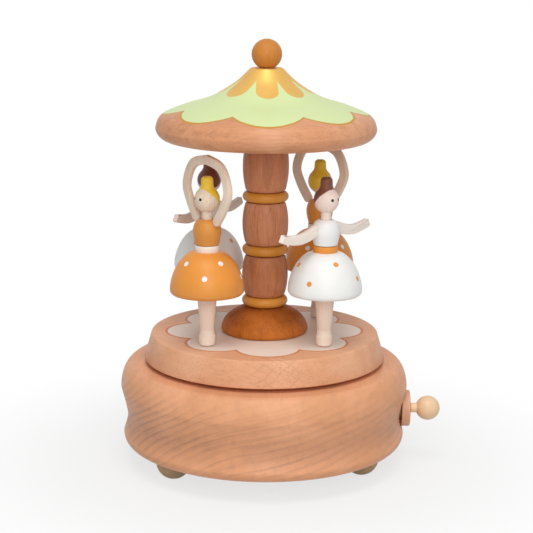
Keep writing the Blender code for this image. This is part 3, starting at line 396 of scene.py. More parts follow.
class Graph(Nodes):
    """The nodes of one finish, with lengths in millimetres of the piece's own frame."""

    def __init__(self, tree: bpy.types.NodeTree) -> None:
        """Start with the place on the surface.

        Args:
            tree: The nodes to fill.
        """
        super().__init__(tree)
        place = self.plug(self.new("TexCoord"), {}, "Object")
        self.place = place.vector("MULTIPLY", (1 / MM, 1 / MM, 1 / MM))
        separate = self.new("SeparateXYZ")
        self.x, self.y, self.z = (self.plug(separate, {0: self.place}, axis) for axis in range(3))

    def noise(self, stretch: float | Place, detail: float = 3.0, roughness: float = 0.55,
              warp: float = 0.0, place: Value | None = None) -> Value:
        """Make soft random variation.

        Args:
            stretch: How often it varies per millimetre, in all or along x, y and z.
            detail: How many finer layers it has.
            roughness: How strong the finer layers are.
            warp: How far it is swirled.
            place: Where it is read, if not at the place on the surface.

        Returns:
            A value of about 0.5 on average.
        """
        stretch = stretch if isinstance(stretch, tuple) else (stretch,) * 3
        place = (place or self.place).vector("MULTIPLY", stretch)
        return self.plug(self.new("TexNoise"), {
            "Vector": place, "Scale": 1.0, "Detail": detail, "Roughness": roughness,
            "Distortion": warp})

    def cells(self, stretch: Place) -> Value:
        """Return the distance from the nearest of many scattered points, in cells."""
        return self.plug(self.new("TexVoronoi"), {
            "Vector": self.place.vector("MULTIPLY", stretch), "Scale": 1.0})

    def near(self, points: Iterable[Place], radius: float, soft: float = 0.1) -> Value:
        """Mark round dots on the surface.

        Args:
            points: The middle of each dot.
            radius: Their radius.
            soft: How soft their edge is.

        Returns:
            A mark that is 1 in the dots.
        """
        dots = [self.place.vector("DISTANCE", point).below(radius, soft) for point in points]
        return reduce(or_, dots)

    def petal_place(self, count: int, turn: float,
                    front_shift: float = 0.0) -> tuple[Value, Value]:
        """Fold the surface so that every petal of a ring falls on one.

        Args:
            count: How many petals there are.
            turn: The angle of the first petal's middle.
            front_shift: How far the front petal stands off its even place.

        Returns:
            The distance along the petal's middle line, and across it.
        """
        angle = self.x.do("ARCTAN2", self.y * -1.0)
        if front_shift:
            angle -= (angle * angle * -4.0).do("EXPONENT") * math.radians(front_shift)
        petal = 2 * math.pi / count
        turns = angle + (petal / 2 - math.radians(turn) + 4 * math.pi)
        folded = turns.do("MODULO", petal) - petal / 2
        radius = self.x.hypot(self.y)
        return radius * folded.do("COSINE"), radius * folded.do("SINE")


# Finishes

@dataclass(frozen=True)
class Finish:
    """A finish that pieces share; its material is made once."""

    name: str
    _: KW_ONLY
    relief: float = 0.05         # depth of the surface's relief
    bump: float = 0.6            # how strongly the relief tells
    coat: float = 0.0            # strength of the clear coat
    coat_gloss: float = 0.35     # its roughness
    shine: float = 0.25          # reflection, where 0.5 is a glossy lacquer

    def coats(self, graph: Graph) -> Layer:
        """Return the coats of the finish as one."""
        raise NotImplementedError

    def material(self) -> bpy.types.Material:
        """Find the material, or build it on the first call.

        Returns:
            The material.
        """
        found = bpy.data.materials.get(self.name)
        if found:
            return found
        made = bpy.data.materials.new(self.name)
        made.use_nodes = True
        graph = Graph(made.node_tree)
        layer = self.coats(graph)
        normal = graph.plug(graph.new("Bump"), {
            "Strength": self.bump, "Distance": self.relief * MM, "Height": layer.height})
        graph.show("OutputMaterial", graph.plug(graph.new("BsdfPrincipled"), {
            "Normal": normal, "Base Color": layer.colour, "Roughness": layer.roughness,
            "Metallic": layer.metallic, "Coat Weight": self.coat,
            "Coat Roughness": self.coat_gloss, "Specular IOR Level": self.shine}))
        return made


@dataclass(frozen=True)
class Rings:
    """Growth rings that a turned block is cut through at a slant."""

    strength: float
    gap: float
    slant: Place
    bow: float                   # how strongly the lines bend up on the left
    fade: float                  # half width over which they fade towards the right
    top: float                   # height where they have faded on the shoulder
    shoulder: float = 10.0

    def mark(self, graph: Graph) -> Value:
        """Draw the thin dark lines and the fine streaks between them.

        Args:
            graph: The finish's nodes.

        Returns:
            A mark that is 1 on a line.
        """
        bow = (graph.x.do("MINIMUM", 0.0) * -1.0).do("POWER", 3.0) * self.bow
        wander = graph.noise(0.022, 1.0) * 7.0
        waver = graph.noise(0.12, 2.0) * 0.24
        level = graph.place.vector("DOT_PRODUCT", self.slant) + bow + wander
        level = level * (1 / self.gap) + waver
        saw = (level + 64.0).do("MODULO", 1.0)
        strength = graph.noise((0.03, 0.05, 0.10), 2.0).step(0.36, 0.66)
        lines = saw.step(0.36, 0.90) * saw.below(0.93, 0.07) * strength.blend(0.22, 1.0)
        along = graph.plug(graph.new("CombineXYZ"), {
            0: graph.x * 0.025, 1: graph.y * 0.025, 2: level * 4.5})
        streaks = graph.noise(1.0, 4.0, 0.5, place=along).step(0.38, 0.78)
        right = graph.x.step(self.fade, -self.fade).blend(0.38, 1.0)
        high = graph.z.step(self.top, self.top - self.shoulder).blend(0.25, 1.0)
        return (lines + streaks * 0.70) * right * high


@dataclass(frozen=True)
class WoodFinish(Finish):
    """Bare or stained wood with fibres, growth rings, flecks and pores."""

    colour: Colour
    dark: Colour
    light: Colour
    grain: Grain = Grain.UPRIGHT
    fibre: float = 0.25
    rings: Rings | None = None
    flecks: float = 0.0
    speckle: float = 0.0
    figure: float = 0.0
    hollow: float = 0.0          # how much painted shade darkens the wood round a hollow of the outline
    hollow_z: float = 11.6
    gloss: float = 0.5
    _: KW_ONLY
    coat: float = 0.06

    def fleck_mark(self, graph: Graph) -> Value:
        """Mark the short dashes of the rays, in patches."""
        dashes = graph.cells(self.grain.stretch(0.42, 1.6)).below(0.20, 0.10)
        return dashes * graph.noise((0.06, 0.06, 0.10), 2.0).step(0.36, 0.60)

    def figure_mark(self, graph: Graph) -> Value:
        """Mark the crossing ribbons that catch the light.

        Args:
            graph: The finish's nodes.

        Returns:
            A mark that is 1 on a ribbon.
        """
        bend = graph.noise(0.10, 1.0) * 6.0
        rising, falling = (
            ((graph.place.vector("DOT_PRODUCT", (0.42, 0.42, rise)) + bend) * 2.4).do("SINE")
            for rise in (0.75, -0.75))
        return (rising | falling).step(0.55, 1.0) * graph.noise(0.035, 1.0).step(0.42, 0.62)

    def coats(self, graph: Graph) -> Layer:
        """Lay fibres, rings, flecks, speckle and painted shade in a hollow over the wood's own
        colour.

        Args:
            graph: The finish's nodes.

        Returns:
            The wood as one coat.
        """
        cloud = graph.noise(0.045, 2.0, warp=0.4)
        fine = graph.noise(self.grain.stretch(0.10, 1.7), 5.0, 0.62)
        broad = graph.noise(self.grain.stretch(0.03, 0.38), 3.0, 0.5, 0.3)
        pores = graph.noise(self.grain.stretch(0.5, 4.0), 2.0)
        streak = fine.step(0.36, 0.80) * self.fibre + broad.step(0.42, 0.78) * (self.fibre * 0.9)
        height = fine * 0.7 + pores * 0.4
        if self.rings:
            lines = self.rings.mark(graph)
            streak += lines * self.rings.strength
            height -= lines * 0.35
        if self.flecks:
            dashes = self.fleck_mark(graph)
            streak += dashes * self.flecks
            height -= dashes * 0.3
        if self.figure:
            streak += self.figure_mark(graph) * self.figure
        if self.hollow:
            # painted shade: the wood darkens in patches round the height hollow_z, where the
            # outline lies in shade
            hollow_shade = (graph.z - self.hollow_z).do("ABSOLUTE").step(9.0, 1.0)
            streak += hollow_shade * cloud.step(0.25, 0.60) * self.hollow
        if self.speckle:
            streak += graph.noise(2.2, 1.0).step(0.52, 0.70) * self.speckle
        plain = cloud.step(0.42, 0.72).mix(self.colour, self.light)
        rough = fine.step(0.3, 0.8).blend(self.gloss - 0.06, self.gloss + 0.10)
        return Layer(streak.mix(plain, self.dark), rough, height)


@dataclass(frozen=True)
class PaintFinish(Finish):
    """Brushed satin paint with the wood's fibres just telling through it."""

    colour: Colour
    shade: Colour
    grain: Grain = Grain.UPRIGHT
    uneven: float = 0.5
    gloss: float = 0.42
    _: KW_ONLY
    relief: float = 0.03
    coat: float = 0.12

    def coats(self, graph: Graph) -> Layer:
        """Lay the paint with its cloudy unevenness and brush marks.

        Args:
            graph: The finish's nodes.

        Returns:
            The paint as one coat.
        """
        cloud = graph.noise(0.11, 3.0, warp=0.3)
        brush = graph.noise(self.grain.stretch(0.12, 1.3), 4.0, 0.6)
        grit = graph.noise(3.2, 2.0)
        shaded = cloud.step(0.35, 0.8) * 0.6 + brush.step(0.35, 0.85) * 0.4
        return Layer((shaded * self.uneven).mix(self.colour, self.shade),
                     brush.blend(self.gloss - 0.05, self.gloss + 0.08),
                     brush * 0.7 + grit * 0.3)


@dataclass(frozen=True)
class MetalFinish(Finish):
    """Machined metal with fine tool marks and a little tarnish."""

    colour: Colour
    tarnish: Colour
    gloss: float = 0.28
    _: KW_ONLY
    relief: float = 0.02
    shine: float = 0.5

    def coats(self, graph: Graph) -> Layer:
        """Lay tool marks and tarnish on the metal.

        Args:
            graph: The finish's nodes.

        Returns:
            The metal as one coat.
        """
        marks = graph.noise((5.0, 1.2, 1.2), 3.0)
        cloud = graph.noise(0.25, 3.0)
        return Layer(cloud.step(0.45, 0.8).mix(self.colour, self.tarnish),
                     cloud.step(0.35, 0.75).blend(self.gloss, self.gloss + 0.2), marks, 1.0)


@dataclass(frozen=True)
class FlowerTopFinish(Finish):
    """The platform's wood with the cream flower and its orange outline on top."""

    wood: WoodFinish
    cream: PaintFinish
    outline: PaintFinish
    petals: int = 8
    turn: float = 2.7
    petal_centre: float = 27.07
    petal_r: float = 13.33
    heart_r: float = 31.0
    outline_width: float = 1.0
    face_z: float = 44.9
    _: KW_ONLY
    coat: float = 0.02
    shine: float = 0.16

    def coats(self, graph: Graph) -> Layer:
        """Lay the outline over the wood, and the cream over both.

        Args:
            graph: The finish's nodes.

        Returns:
            The three as one coat.
        """
        along, across = graph.petal_place(self.petals, self.turn)
        uneven = graph.noise(0.5, 1.0) * 0.25
        distance = (along - self.petal_centre).hypot(across) + uneven
        top = graph.z.above(self.face_z, 0.1)
        heart = graph.x.hypot(graph.y).below(self.heart_r)
        outer = top * (distance.below(self.petal_r) | heart)
        inner = top * (distance.below(self.petal_r - self.outline_width) | heart)
        layer = self.wood.coats(graph).under(self.outline.coats(graph), outer)
        return layer.under(self.cream.coats(graph), inner)


@dataclass(frozen=True)
class CanopyFinish(Finish):
    """The roof's wood rim, the green scallops with a golden edge, and the gold star."""

    wood: WoodFinish
    green: PaintFinish
    edge: PaintFinish
    gold: PaintFinish
    scallops: int = 8
    turn: float = 1.2
    scallop_centre: float = 26.29
    scallop_r: float = 15.21
    edge_width: float = 0.9
    top_z: float = 6.5
    star_turn: float = -2.6
    front_shift: float = 5.0
    star_centre: float = 14.9
    star_half_width: float = 4.45
    star_taper: float = 0.02
    star_metal: float = 0.6
    _: KW_ONLY
    relief: float = 0.04
    coat: float = 0.03
    shine: float = 0.18

    def star_mark(self, graph: Graph) -> Value:
        """Mark the star's petals, which get narrower inwards.

        Args:
            graph: The finish's nodes.

        Returns:
            A mark that is 1 on the star.
        """
        along, across = graph.petal_place(self.scallops, self.star_turn, self.front_shift)
        past = along - self.star_centre
        inwards = (past * -self.star_taper).do("MAXIMUM", 0.0)
        across *= inwards + 1.0
        return past.do("MAXIMUM", 0.0).hypot(across).below(self.star_half_width)

    def coats(self, graph: Graph) -> Layer:
        """Lay the three paints over the rim's wood.

        Args:
            graph: The finish's nodes.

        Returns:
            The four as one coat.
        """
        along, across = graph.petal_place(self.scallops, self.turn)
        uneven = graph.noise(0.4, 1.0) * 0.3
        distance = (along - self.scallop_centre).hypot(across) + uneven
        top = graph.z.above(self.top_z, 0.2)
        heart = along.below(self.scallop_centre)
        outer = top * (distance.below(self.scallop_r) | heart)
        inner_r = self.scallop_r - self.edge_width
        heart *= distance.below(inner_r + self.scallop_r)
        inner = top * (distance.below(inner_r) | heart)
        star = top * self.star_mark(graph)
        layer = self.wood.coats(graph).under(self.edge.coats(graph), outer)
        layer = layer.under(self.green.coats(graph), inner)
        layer = layer.under(self.gold.coats(graph), star)
        return replace(layer, metallic=star * self.star_metal)


@dataclass(frozen=True)
class SkirtFinish(Finish):
    """A painted skirt with dots, a waist band and a hem that gets darker downwards."""

    paint: PaintFinish
    dot_paint: PaintFinish
    band_paint: PaintFinish
    hem_paint: PaintFinish
    dots: tuple[Place, ...]
    hem_z: float
    band_z: float
    hem_share: float = 0.6
    hem_fade: float = 11.0
    dot_r: float = 1.03
    _: KW_ONLY
    relief: float = 0.03
    coat: float = 0.12

    def coats(self, graph: Graph) -> Layer:
        """Lay the hem, the dots and the band over the paint.

        Args:
            graph: The finish's nodes.

        Returns:
            The paints as one coat.
        """
        hem = graph.z.step(self.hem_z + self.hem_fade, self.hem_z) * self.hem_share
        layer = self.paint.coats(graph).under(self.hem_paint.coats(graph), hem)
        layer = layer.under(self.dot_paint.coats(graph), graph.near(self.dots, self.dot_r))
        return layer.under(self.band_paint.coats(graph), graph.z.above(self.band_z, 0.1))


@dataclass(frozen=True)
class HeadFinish(Finish):
    """A doll's head: bare wood, painted hair down to the nape, and two dot eyes."""

    skin: WoodFinish
    hair: PaintFinish
    eye: PaintFinish
    centre_z: float
    head_r: float
    gaze: float = 0.0
    hair_back: float = 0.734
    hair_up: float = 0.68
    hair_start: float = 0.97
    eye_angle: float = 20.0
    eye_r: float = 0.62
    eye_rise: float = 0.5
    halo_r: float = 1.0
    _: KW_ONLY
    relief: float = 0.03
    coat: float = 0.06

    def coats(self, graph: Graph) -> Layer:
        """Pale the skin round the eyes, and paint the hair and the eyes over it.

        Args:
            graph: The finish's nodes.

        Returns:
            The skin and the paints as one coat.
        """
        reach = math.sqrt(self.head_r ** 2 - self.eye_rise ** 2)
        places = [(*on_ring(reach, self.gaze + angle), self.centre_z + self.eye_rise)
                  for angle in (-self.eye_angle, self.eye_angle)]
        halo = graph.near(places, self.halo_r, 0.2) * 0.5
        layer = self.skin.coats(graph)
        layer = replace(layer, colour=halo.mix(layer.colour, self.skin.light))
        back = (*on_ring(-self.hair_back, self.gaze), self.hair_up)
        height = graph.place.vector("DOT_PRODUCT", back) + graph.noise(0.8, 1.0) * 0.3
        hair = height.above(self.hair_start + self.centre_z * self.hair_up, 0.12)
        layer = layer.under(self.hair.coats(graph), hair)
        return layer.under(self.eye.coats(graph), graph.near(places, self.eye_r, 0.08))


@dataclass(frozen=True)
class LegFinish(Finish):
    """Bare legs with the paler shoes that start at the ankle."""

    skin: WoodFinish
    shoe: WoodFinish
    shoe_top: float = 6.5
    _: KW_ONLY
    relief: float = 0.04
    coat: float = 0.05

    def coats(self, graph: Graph) -> Layer:
        """Return the skin with the paler shoe over its lower end."""
        shoe = graph.z.below(self.shoe_top, 0.25)
        return self.skin.coats(graph).under(self.shoe.coats(graph), shoe)


# Making pieces

@dataclass(frozen=True)
class Seat:
    """Where a piece stands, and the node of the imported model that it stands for."""

    body: Body
    slot: Slot
    node: str
    x: float = 0.0
    y: float = 0.0
    z: float = 0.0
    turn: float = 0.0
    lies_along_x: bool = False

    def matrix(self) -> Matrix:
        """Work out the piece's place in the frame.

        Returns:
            The place, in metres.
        """
        result = at(self.x, self.y, self.z)
        result @= Matrix.Rotation(math.radians(self.turn), 4, "Z")
        return result @ ALONG_X if self.lies_along_x else result


def at(x: float, y: float, z: float = 0.0) -> Matrix:
    """Return an upright place in metres."""
    return Matrix.Translation(Vector((x, y, z)) * MM)


def add_object(name: str, data: bpy.types.ID) -> bpy.types.Object:
    """Stand a mesh, lamp or camera in the scene.

    Args:
        name: Its name.
        data: The mesh, lamp or camera.

    Returns:
        The object.
    """
    thing = bpy.data.objects.new(name, data)
    bpy.context.scene.collection.objects.link(thing)
    return thing


def to_mesh(name: str, bm: bmesh.types.BMesh) -> bpy.types.Mesh:
    """Bring a mesh from millimetres to metres, with its faces looking out.

    Args:
        name: The mesh's name.
        bm: The mesh in millimetres.

    Returns:
        The mesh in metres.
    """
    bmesh.ops.recalc_face_normals(bm, faces=bm.faces)
    bmesh.ops.scale(bm, vec=(MM, MM, MM), verts=bm.verts)
    mesh = bpy.data.meshes.new(name)
    bm.to_mesh(mesh)
    bm.free()
    return mesh


def finish_piece(name: str, bm: bmesh.types.BMesh, finish: Finish, seat: Seat,
                 sharp: float = SHARP) -> bpy.types.Object:
    """Turn a mesh into a finished piece that rides on its body.

    Args:
        name: The piece's name.
        bm: The mesh in millimetres.
        finish: What the piece is finished with.
        seat: Where it stands and which node it stands for.
        sharp: The angle above which an edge stays sharp.

    Returns:
        The piece.
    """
    bmesh.ops.remove_doubles(bm, verts=bm.verts, dist=SAME)
    mesh = to_mesh(name, bm)
    mesh.shade_smooth()
    mesh.set_sharp_from_angle(angle=math.radians(sharp))
    mesh.materials.append(finish.material())
    piece = add_object(name, mesh)
    piece.matrix_world = seat.matrix()
    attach(piece, seat.body.value)
    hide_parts(seat.node)
    LOG.info("%s rides on %s", name, seat.body.value)
    return piece


def turn_outline(outline: list[Point], segments: int) -> bmesh.types.BMesh:
    """Turn a closed outline on the lathe.

    Args:
        outline: The outline's points as radius and height.
        segments: How many flats go round.

    Returns:
        The mesh in millimetres.
    """
    bm = bmesh.new()
    rings = []
    for radius, height in outline:
        if radius < SAME:
            rings.append([bm.verts.new((0, 0, height))] * segments)
            continue
        angles = [2 * math.pi * step / segments for step in range(segments)]
        rings.append([bm.verts.new((radius * math.cos(angle), radius * math.sin(angle), height))
                      for angle in angles])
    for index, ring in enumerate(rings):
        other = rings[(index + 1) % len(rings)]
        if ring[0] is ring[1] and other[0] is other[1]:
            continue
        for step in range(segments):
            after = (step + 1) % segments
            corners = [ring[step], ring[after], other[after], other[step]]
            bm.faces.new(list(dict.fromkeys(corners)))
    return bm


def turned(name: str, outline: list[Point], finish: Finish, seat: Seat,
           segments: int = 96) -> bpy.types.Object:
    """Return a piece that is turned on the lathe."""
    return finish_piece(name, turn_outline(outline, segments), finish, seat)


def sawn(name: str, outline: list[Point], thickness: float, finish: Finish,
         seat: Seat) -> bpy.types.Object:
    """Saw a flat piece that stands upright in x and z, with softened edges.

    Args:
        name: The piece's name.
        outline: Its outline in x and z.
        thickness: Its thickness along y.
        finish: What it is finished with.
        seat: Where it stands.

    Returns:
        The piece.
    """
    bm = bmesh.new()
    corners = [bm.verts.new((x, -thickness / 2, z)) for x, z in outline]
    grown = bmesh.ops.extrude_face_region(bm, geom=[bm.faces.new(corners)])
    moved = [item for item in grown["geom"] if isinstance(item, bmesh.types.BMVert)]
    bmesh.ops.translate(bm, vec=(0, thickness, 0), verts=moved)
    bm.normal_update()
    rims = [edge for edge in bm.edges
            if len(edge.link_faces) == 2 and edge.calc_face_angle(0) > math.radians(SAWN_CORNER)
            and abs(edge.verts[0].co.y - edge.verts[1].co.y) < SAME]
    bmesh.ops.bevel(bm, geom=rims, offset=SAWN_EDGE, segments=3, profile=0.5, affect="EDGES")
    return finish_piece(name, bm, finish, seat, SAWN_SHARP)


def clean(mesh: bpy.types.Mesh) -> None:
    """Merge points that a bore leaves too close together and drop faces without area.

    Args:
        mesh: The mesh in metres.
    """
    bm = bmesh.new()
    bm.from_mesh(mesh)
    bmesh.ops.remove_doubles(bm, verts=bm.verts, dist=CLOSE)
    bmesh.ops.triangulate(bm, faces=[face for face in bm.faces if len(face.verts) > 4])
    bmesh.ops.dissolve_degenerate(bm, dist=CLOSE, edges=bm.edges)
    bm.to_mesh(mesh)
    bm.free()


def cut(piece: bpy.types.Object, outline: list[Point], place: Matrix,
        segments: int = 64) -> None:
    """Bore a round hole or recess in a piece.

    Args:
        piece: The piece that is cut.
        outline: The cutter's outline as radius and height, in millimetres.
        place: Where the cutter goes, in metres.
        segments: How many flats the cutter has.
    """
    mesh = to_mesh("cutter", turn_outline(outline, segments))
    mesh.transform(place)
    cutter = add_object("cutter", mesh)
    modifier = piece.modifiers.new("bore", "BOOLEAN")
    modifier.solver = "EXACT"
    modifier.object = cutter
    bpy.context.view_layer.update()
    made = bpy.data.meshes.new_from_object(
        piece.evaluated_get(bpy.context.evaluated_depsgraph_get()))
    piece.modifiers.remove(modifier)
    clean(made)
    piece.data = made
    made.set_sharp_from_angle(angle=math.radians(SHARP))
    bpy.data.objects.remove(cutter)


def bore(radius: float, low: float, high: float) -> list[Point]:
    """Return the outline of a straight cutter between two heights."""
    return [(0, low), (radius, low), (radius, high), (0, high)]


def dress_node(node: str, finish: Finish) -> None:
    """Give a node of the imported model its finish.

    Args:
        node: The node's name.
        finish: What it is finished with.
    """
    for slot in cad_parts[node].material_slots:
        slot.material = finish.material()
    LOG.info("%s dressed with %s", node, finish.name)


# The woods, paints and metals

# hollow paints shade into the base's groove
BASE_BEECH = WoodFinish(
    "base_beech", (0.77, 0.365, 0.185), (0.37, 0.18, 0.115), (0.86, 0.42, 0.23), Grain.DEEP,
    fibre=0.13, rings=Rings(0.37, 3.3, (-0.30, 0.0, 1.0), bow=0.000133, fade=46.0, top=32.0),
    hollow=0.27, gloss=0.46)
PLATFORM_BEECH = WoodFinish(
    "platform_beech", (0.80, 0.41, 0.23), (0.46, 0.20, 0.09), (0.88, 0.49, 0.30), Grain.ACROSS,
    fibre=0.14, flecks=0.60, figure=0.16, gloss=0.46)
ROOF_BEECH = WoodFinish(
    "roof_beech", (0.71, 0.33, 0.170), (0.37, 0.155, 0.076), (0.80, 0.40, 0.225), Grain.ACROSS,
    fibre=0.36, flecks=0.10, gloss=0.45)
FOOT_OLIVE = WoodFinish(
    "foot_olive", (0.47, 0.315, 0.16), (0.26, 0.16, 0.075), (0.58, 0.41, 0.23), speckle=0.2)
REDDISH_BEECH = WoodFinish(
    "reddish_beech", (0.52, 0.20, 0.088), (0.30, 0.10, 0.040), (0.62, 0.27, 0.130),
    fibre=0.48, flecks=0.3, speckle=0.22, gloss=0.44, coat=0.03, shine=0.18)
ROSY_BEECH = replace(
    REDDISH_BEECH, name="rosy_beech", colour=(0.64, 0.27, 0.138), dark=(0.38, 0.14, 0.062),
    light=(0.74, 0.35, 0.190))
# hollow paints the shade under the lower ring onto the dome's top
ORANGE_STAIN = WoodFinish(
    "orange_stain", (0.58, 0.175, 0.030), (0.24, 0.058, 0.009), (0.64, 0.20, 0.038),
    fibre=0.34, speckle=0.25, hollow=0.62, hollow_z=10.2, coat=0.0, shine=0.10)
ORANGE_TAN = WoodFinish(
    "orange_tan", (0.62, 0.235, 0.045), (0.38, 0.125, 0.020), (0.70, 0.29, 0.07),
    fibre=0.24, gloss=0.42, shine=0.15)
SKIN_WOOD = WoodFinish(
    "skin_wood", (0.85, 0.68, 0.52), (0.55, 0.39, 0.27), (0.91, 0.76, 0.62),
    fibre=0.12, speckle=0.68, gloss=0.52)
ROSY_SKIN_WOOD = WoodFinish(
    "rosy_skin_wood", (0.93, 0.75, 0.66), (0.68, 0.48, 0.38), (0.95, 0.81, 0.72),
    fibre=0.10, speckle=0.30, gloss=0.52)
LEG_WOOD = WoodFinish(
    "leg_wood", (0.92, 0.73, 0.61), (0.68, 0.48, 0.35), (0.94, 0.78, 0.64),
    fibre=0.14, speckle=0.12)
SHOE_WOOD = WoodFinish(
    "shoe_wood", (0.96, 0.80, 0.67), (0.82, 0.62, 0.48), (0.97, 0.85, 0.73), fibre=0.10)
ARM_WOOD = WoodFinish(
    "arm_wood", (0.86, 0.69, 0.54), (0.66, 0.48, 0.35), (0.92, 0.77, 0.64))
LEVEL_ARM_WOOD = WoodFinish(
    "level_arm_wood", (0.95, 0.83, 0.73), (0.76, 0.59, 0.48), (0.97, 0.88, 0.80), Grain.ACROSS,
    fibre=0.14)
KNOB_WOOD = WoodFinish(
    "knob_wood", (0.88, 0.62, 0.39), (0.62, 0.40, 0.20), (0.92, 0.70, 0.46),
    fibre=0.18, speckle=0.1, gloss=0.4, coat=0.1)
DISC_WOOD = WoodFinish(
    "disc_wood", (0.76, 0.43, 0.28), (0.50, 0.25, 0.14), (0.84, 0.51, 0.36), Grain.DEEP)
PLYWOOD = WoodFinish(
    "plywood", (0.70, 0.52, 0.33), (0.38, 0.23, 0.12), (0.80, 0.63, 0.44), Grain.ACROSS,
    fibre=0.55, flecks=0.4, gloss=0.6)

MUSTARD = PaintFinish("mustard", (0.68, 0.285, 0.042), (0.52, 0.205, 0.027), gloss=0.38,
                      coat=0.1)
CREAM = PaintFinish("cream", (0.90, 0.77, 0.67), (0.84, 0.70, 0.60), Grain.ACROSS)
FLOWER_EDGE = PaintFinish("flower_edge", (0.66, 0.22, 0.05), (0.54, 0.16, 0.035), Grain.ACROSS)
GREEN = PaintFinish("green", (0.70, 0.81, 0.41), (0.66, 0.77, 0.37), Grain.ACROSS, 0.4)
SCALLOP_EDGE = PaintFinish("scallop_edge", (0.60, 0.30, 0.05), (0.52, 0.24, 0.04), Grain.ACROSS)
GOLD = PaintFinish("gold", (0.78, 0.47, 0.12), (0.64, 0.35, 0.08), Grain.DEEP)
ORANGE = PaintFinish("orange", (0.82, 0.315, 0.052), (0.70, 0.26, 0.040))
# the skirt's orange made darker and browner for the bodices: partly a browner paint, partly
# painted shade; the orange skirts' hems also take it
ORANGE_BODICE = PaintFinish("orange_bodice", (0.72, 0.295, 0.055), (0.56, 0.205, 0.035))
WHITE = PaintFinish("white", (0.88, 0.88, 0.86), (0.82, 0.82, 0.80))
CREAM_BAND = PaintFinish("cream_band", (0.93, 0.79, 0.68), (0.86, 0.71, 0.60))
YELLOW_HAIR = PaintFinish("yellow_hair", (0.85, 0.56, 0.045), (0.66, 0.41, 0.03), gloss=0.38)
BROWN_HAIR = PaintFinish("brown_hair", (0.215, 0.076, 0.042), (0.14, 0.047, 0.026), gloss=0.36)
EYE_BLACK = PaintFinish("eye_black", (0.012, 0.010, 0.010), (0.02, 0.018, 0.016), gloss=0.3)

STEEL = MetalFinish("steel", (0.62, 0.62, 0.62), (0.45, 0.44, 0.43))
BRASS = MetalFinish("brass_metal", (0.78, 0.58, 0.27), (0.55, 0.38, 0.16))
# brass darkened to stand for the shade in the crank's recess: painted shade
BRASS_IN_PAINTED_SHADE = MetalFinish("brass_in_painted_shade", (0.32, 0.17, 0.08), (0.19, 0.095, 0.05), gloss=0.4)

FLOWER_TOP = FlowerTopFinish("flower_top", PLATFORM_BEECH, CREAM, FLOWER_EDGE)
CANOPY = CanopyFinish("canopy", ROOF_BEECH, GREEN, SCALLOP_EDGE, GOLD)
LEGS_AND_SHOES = LegFinish("legs_and_shoes", LEG_WOOD, SHOE_WOOD)


# Sub-assemblies

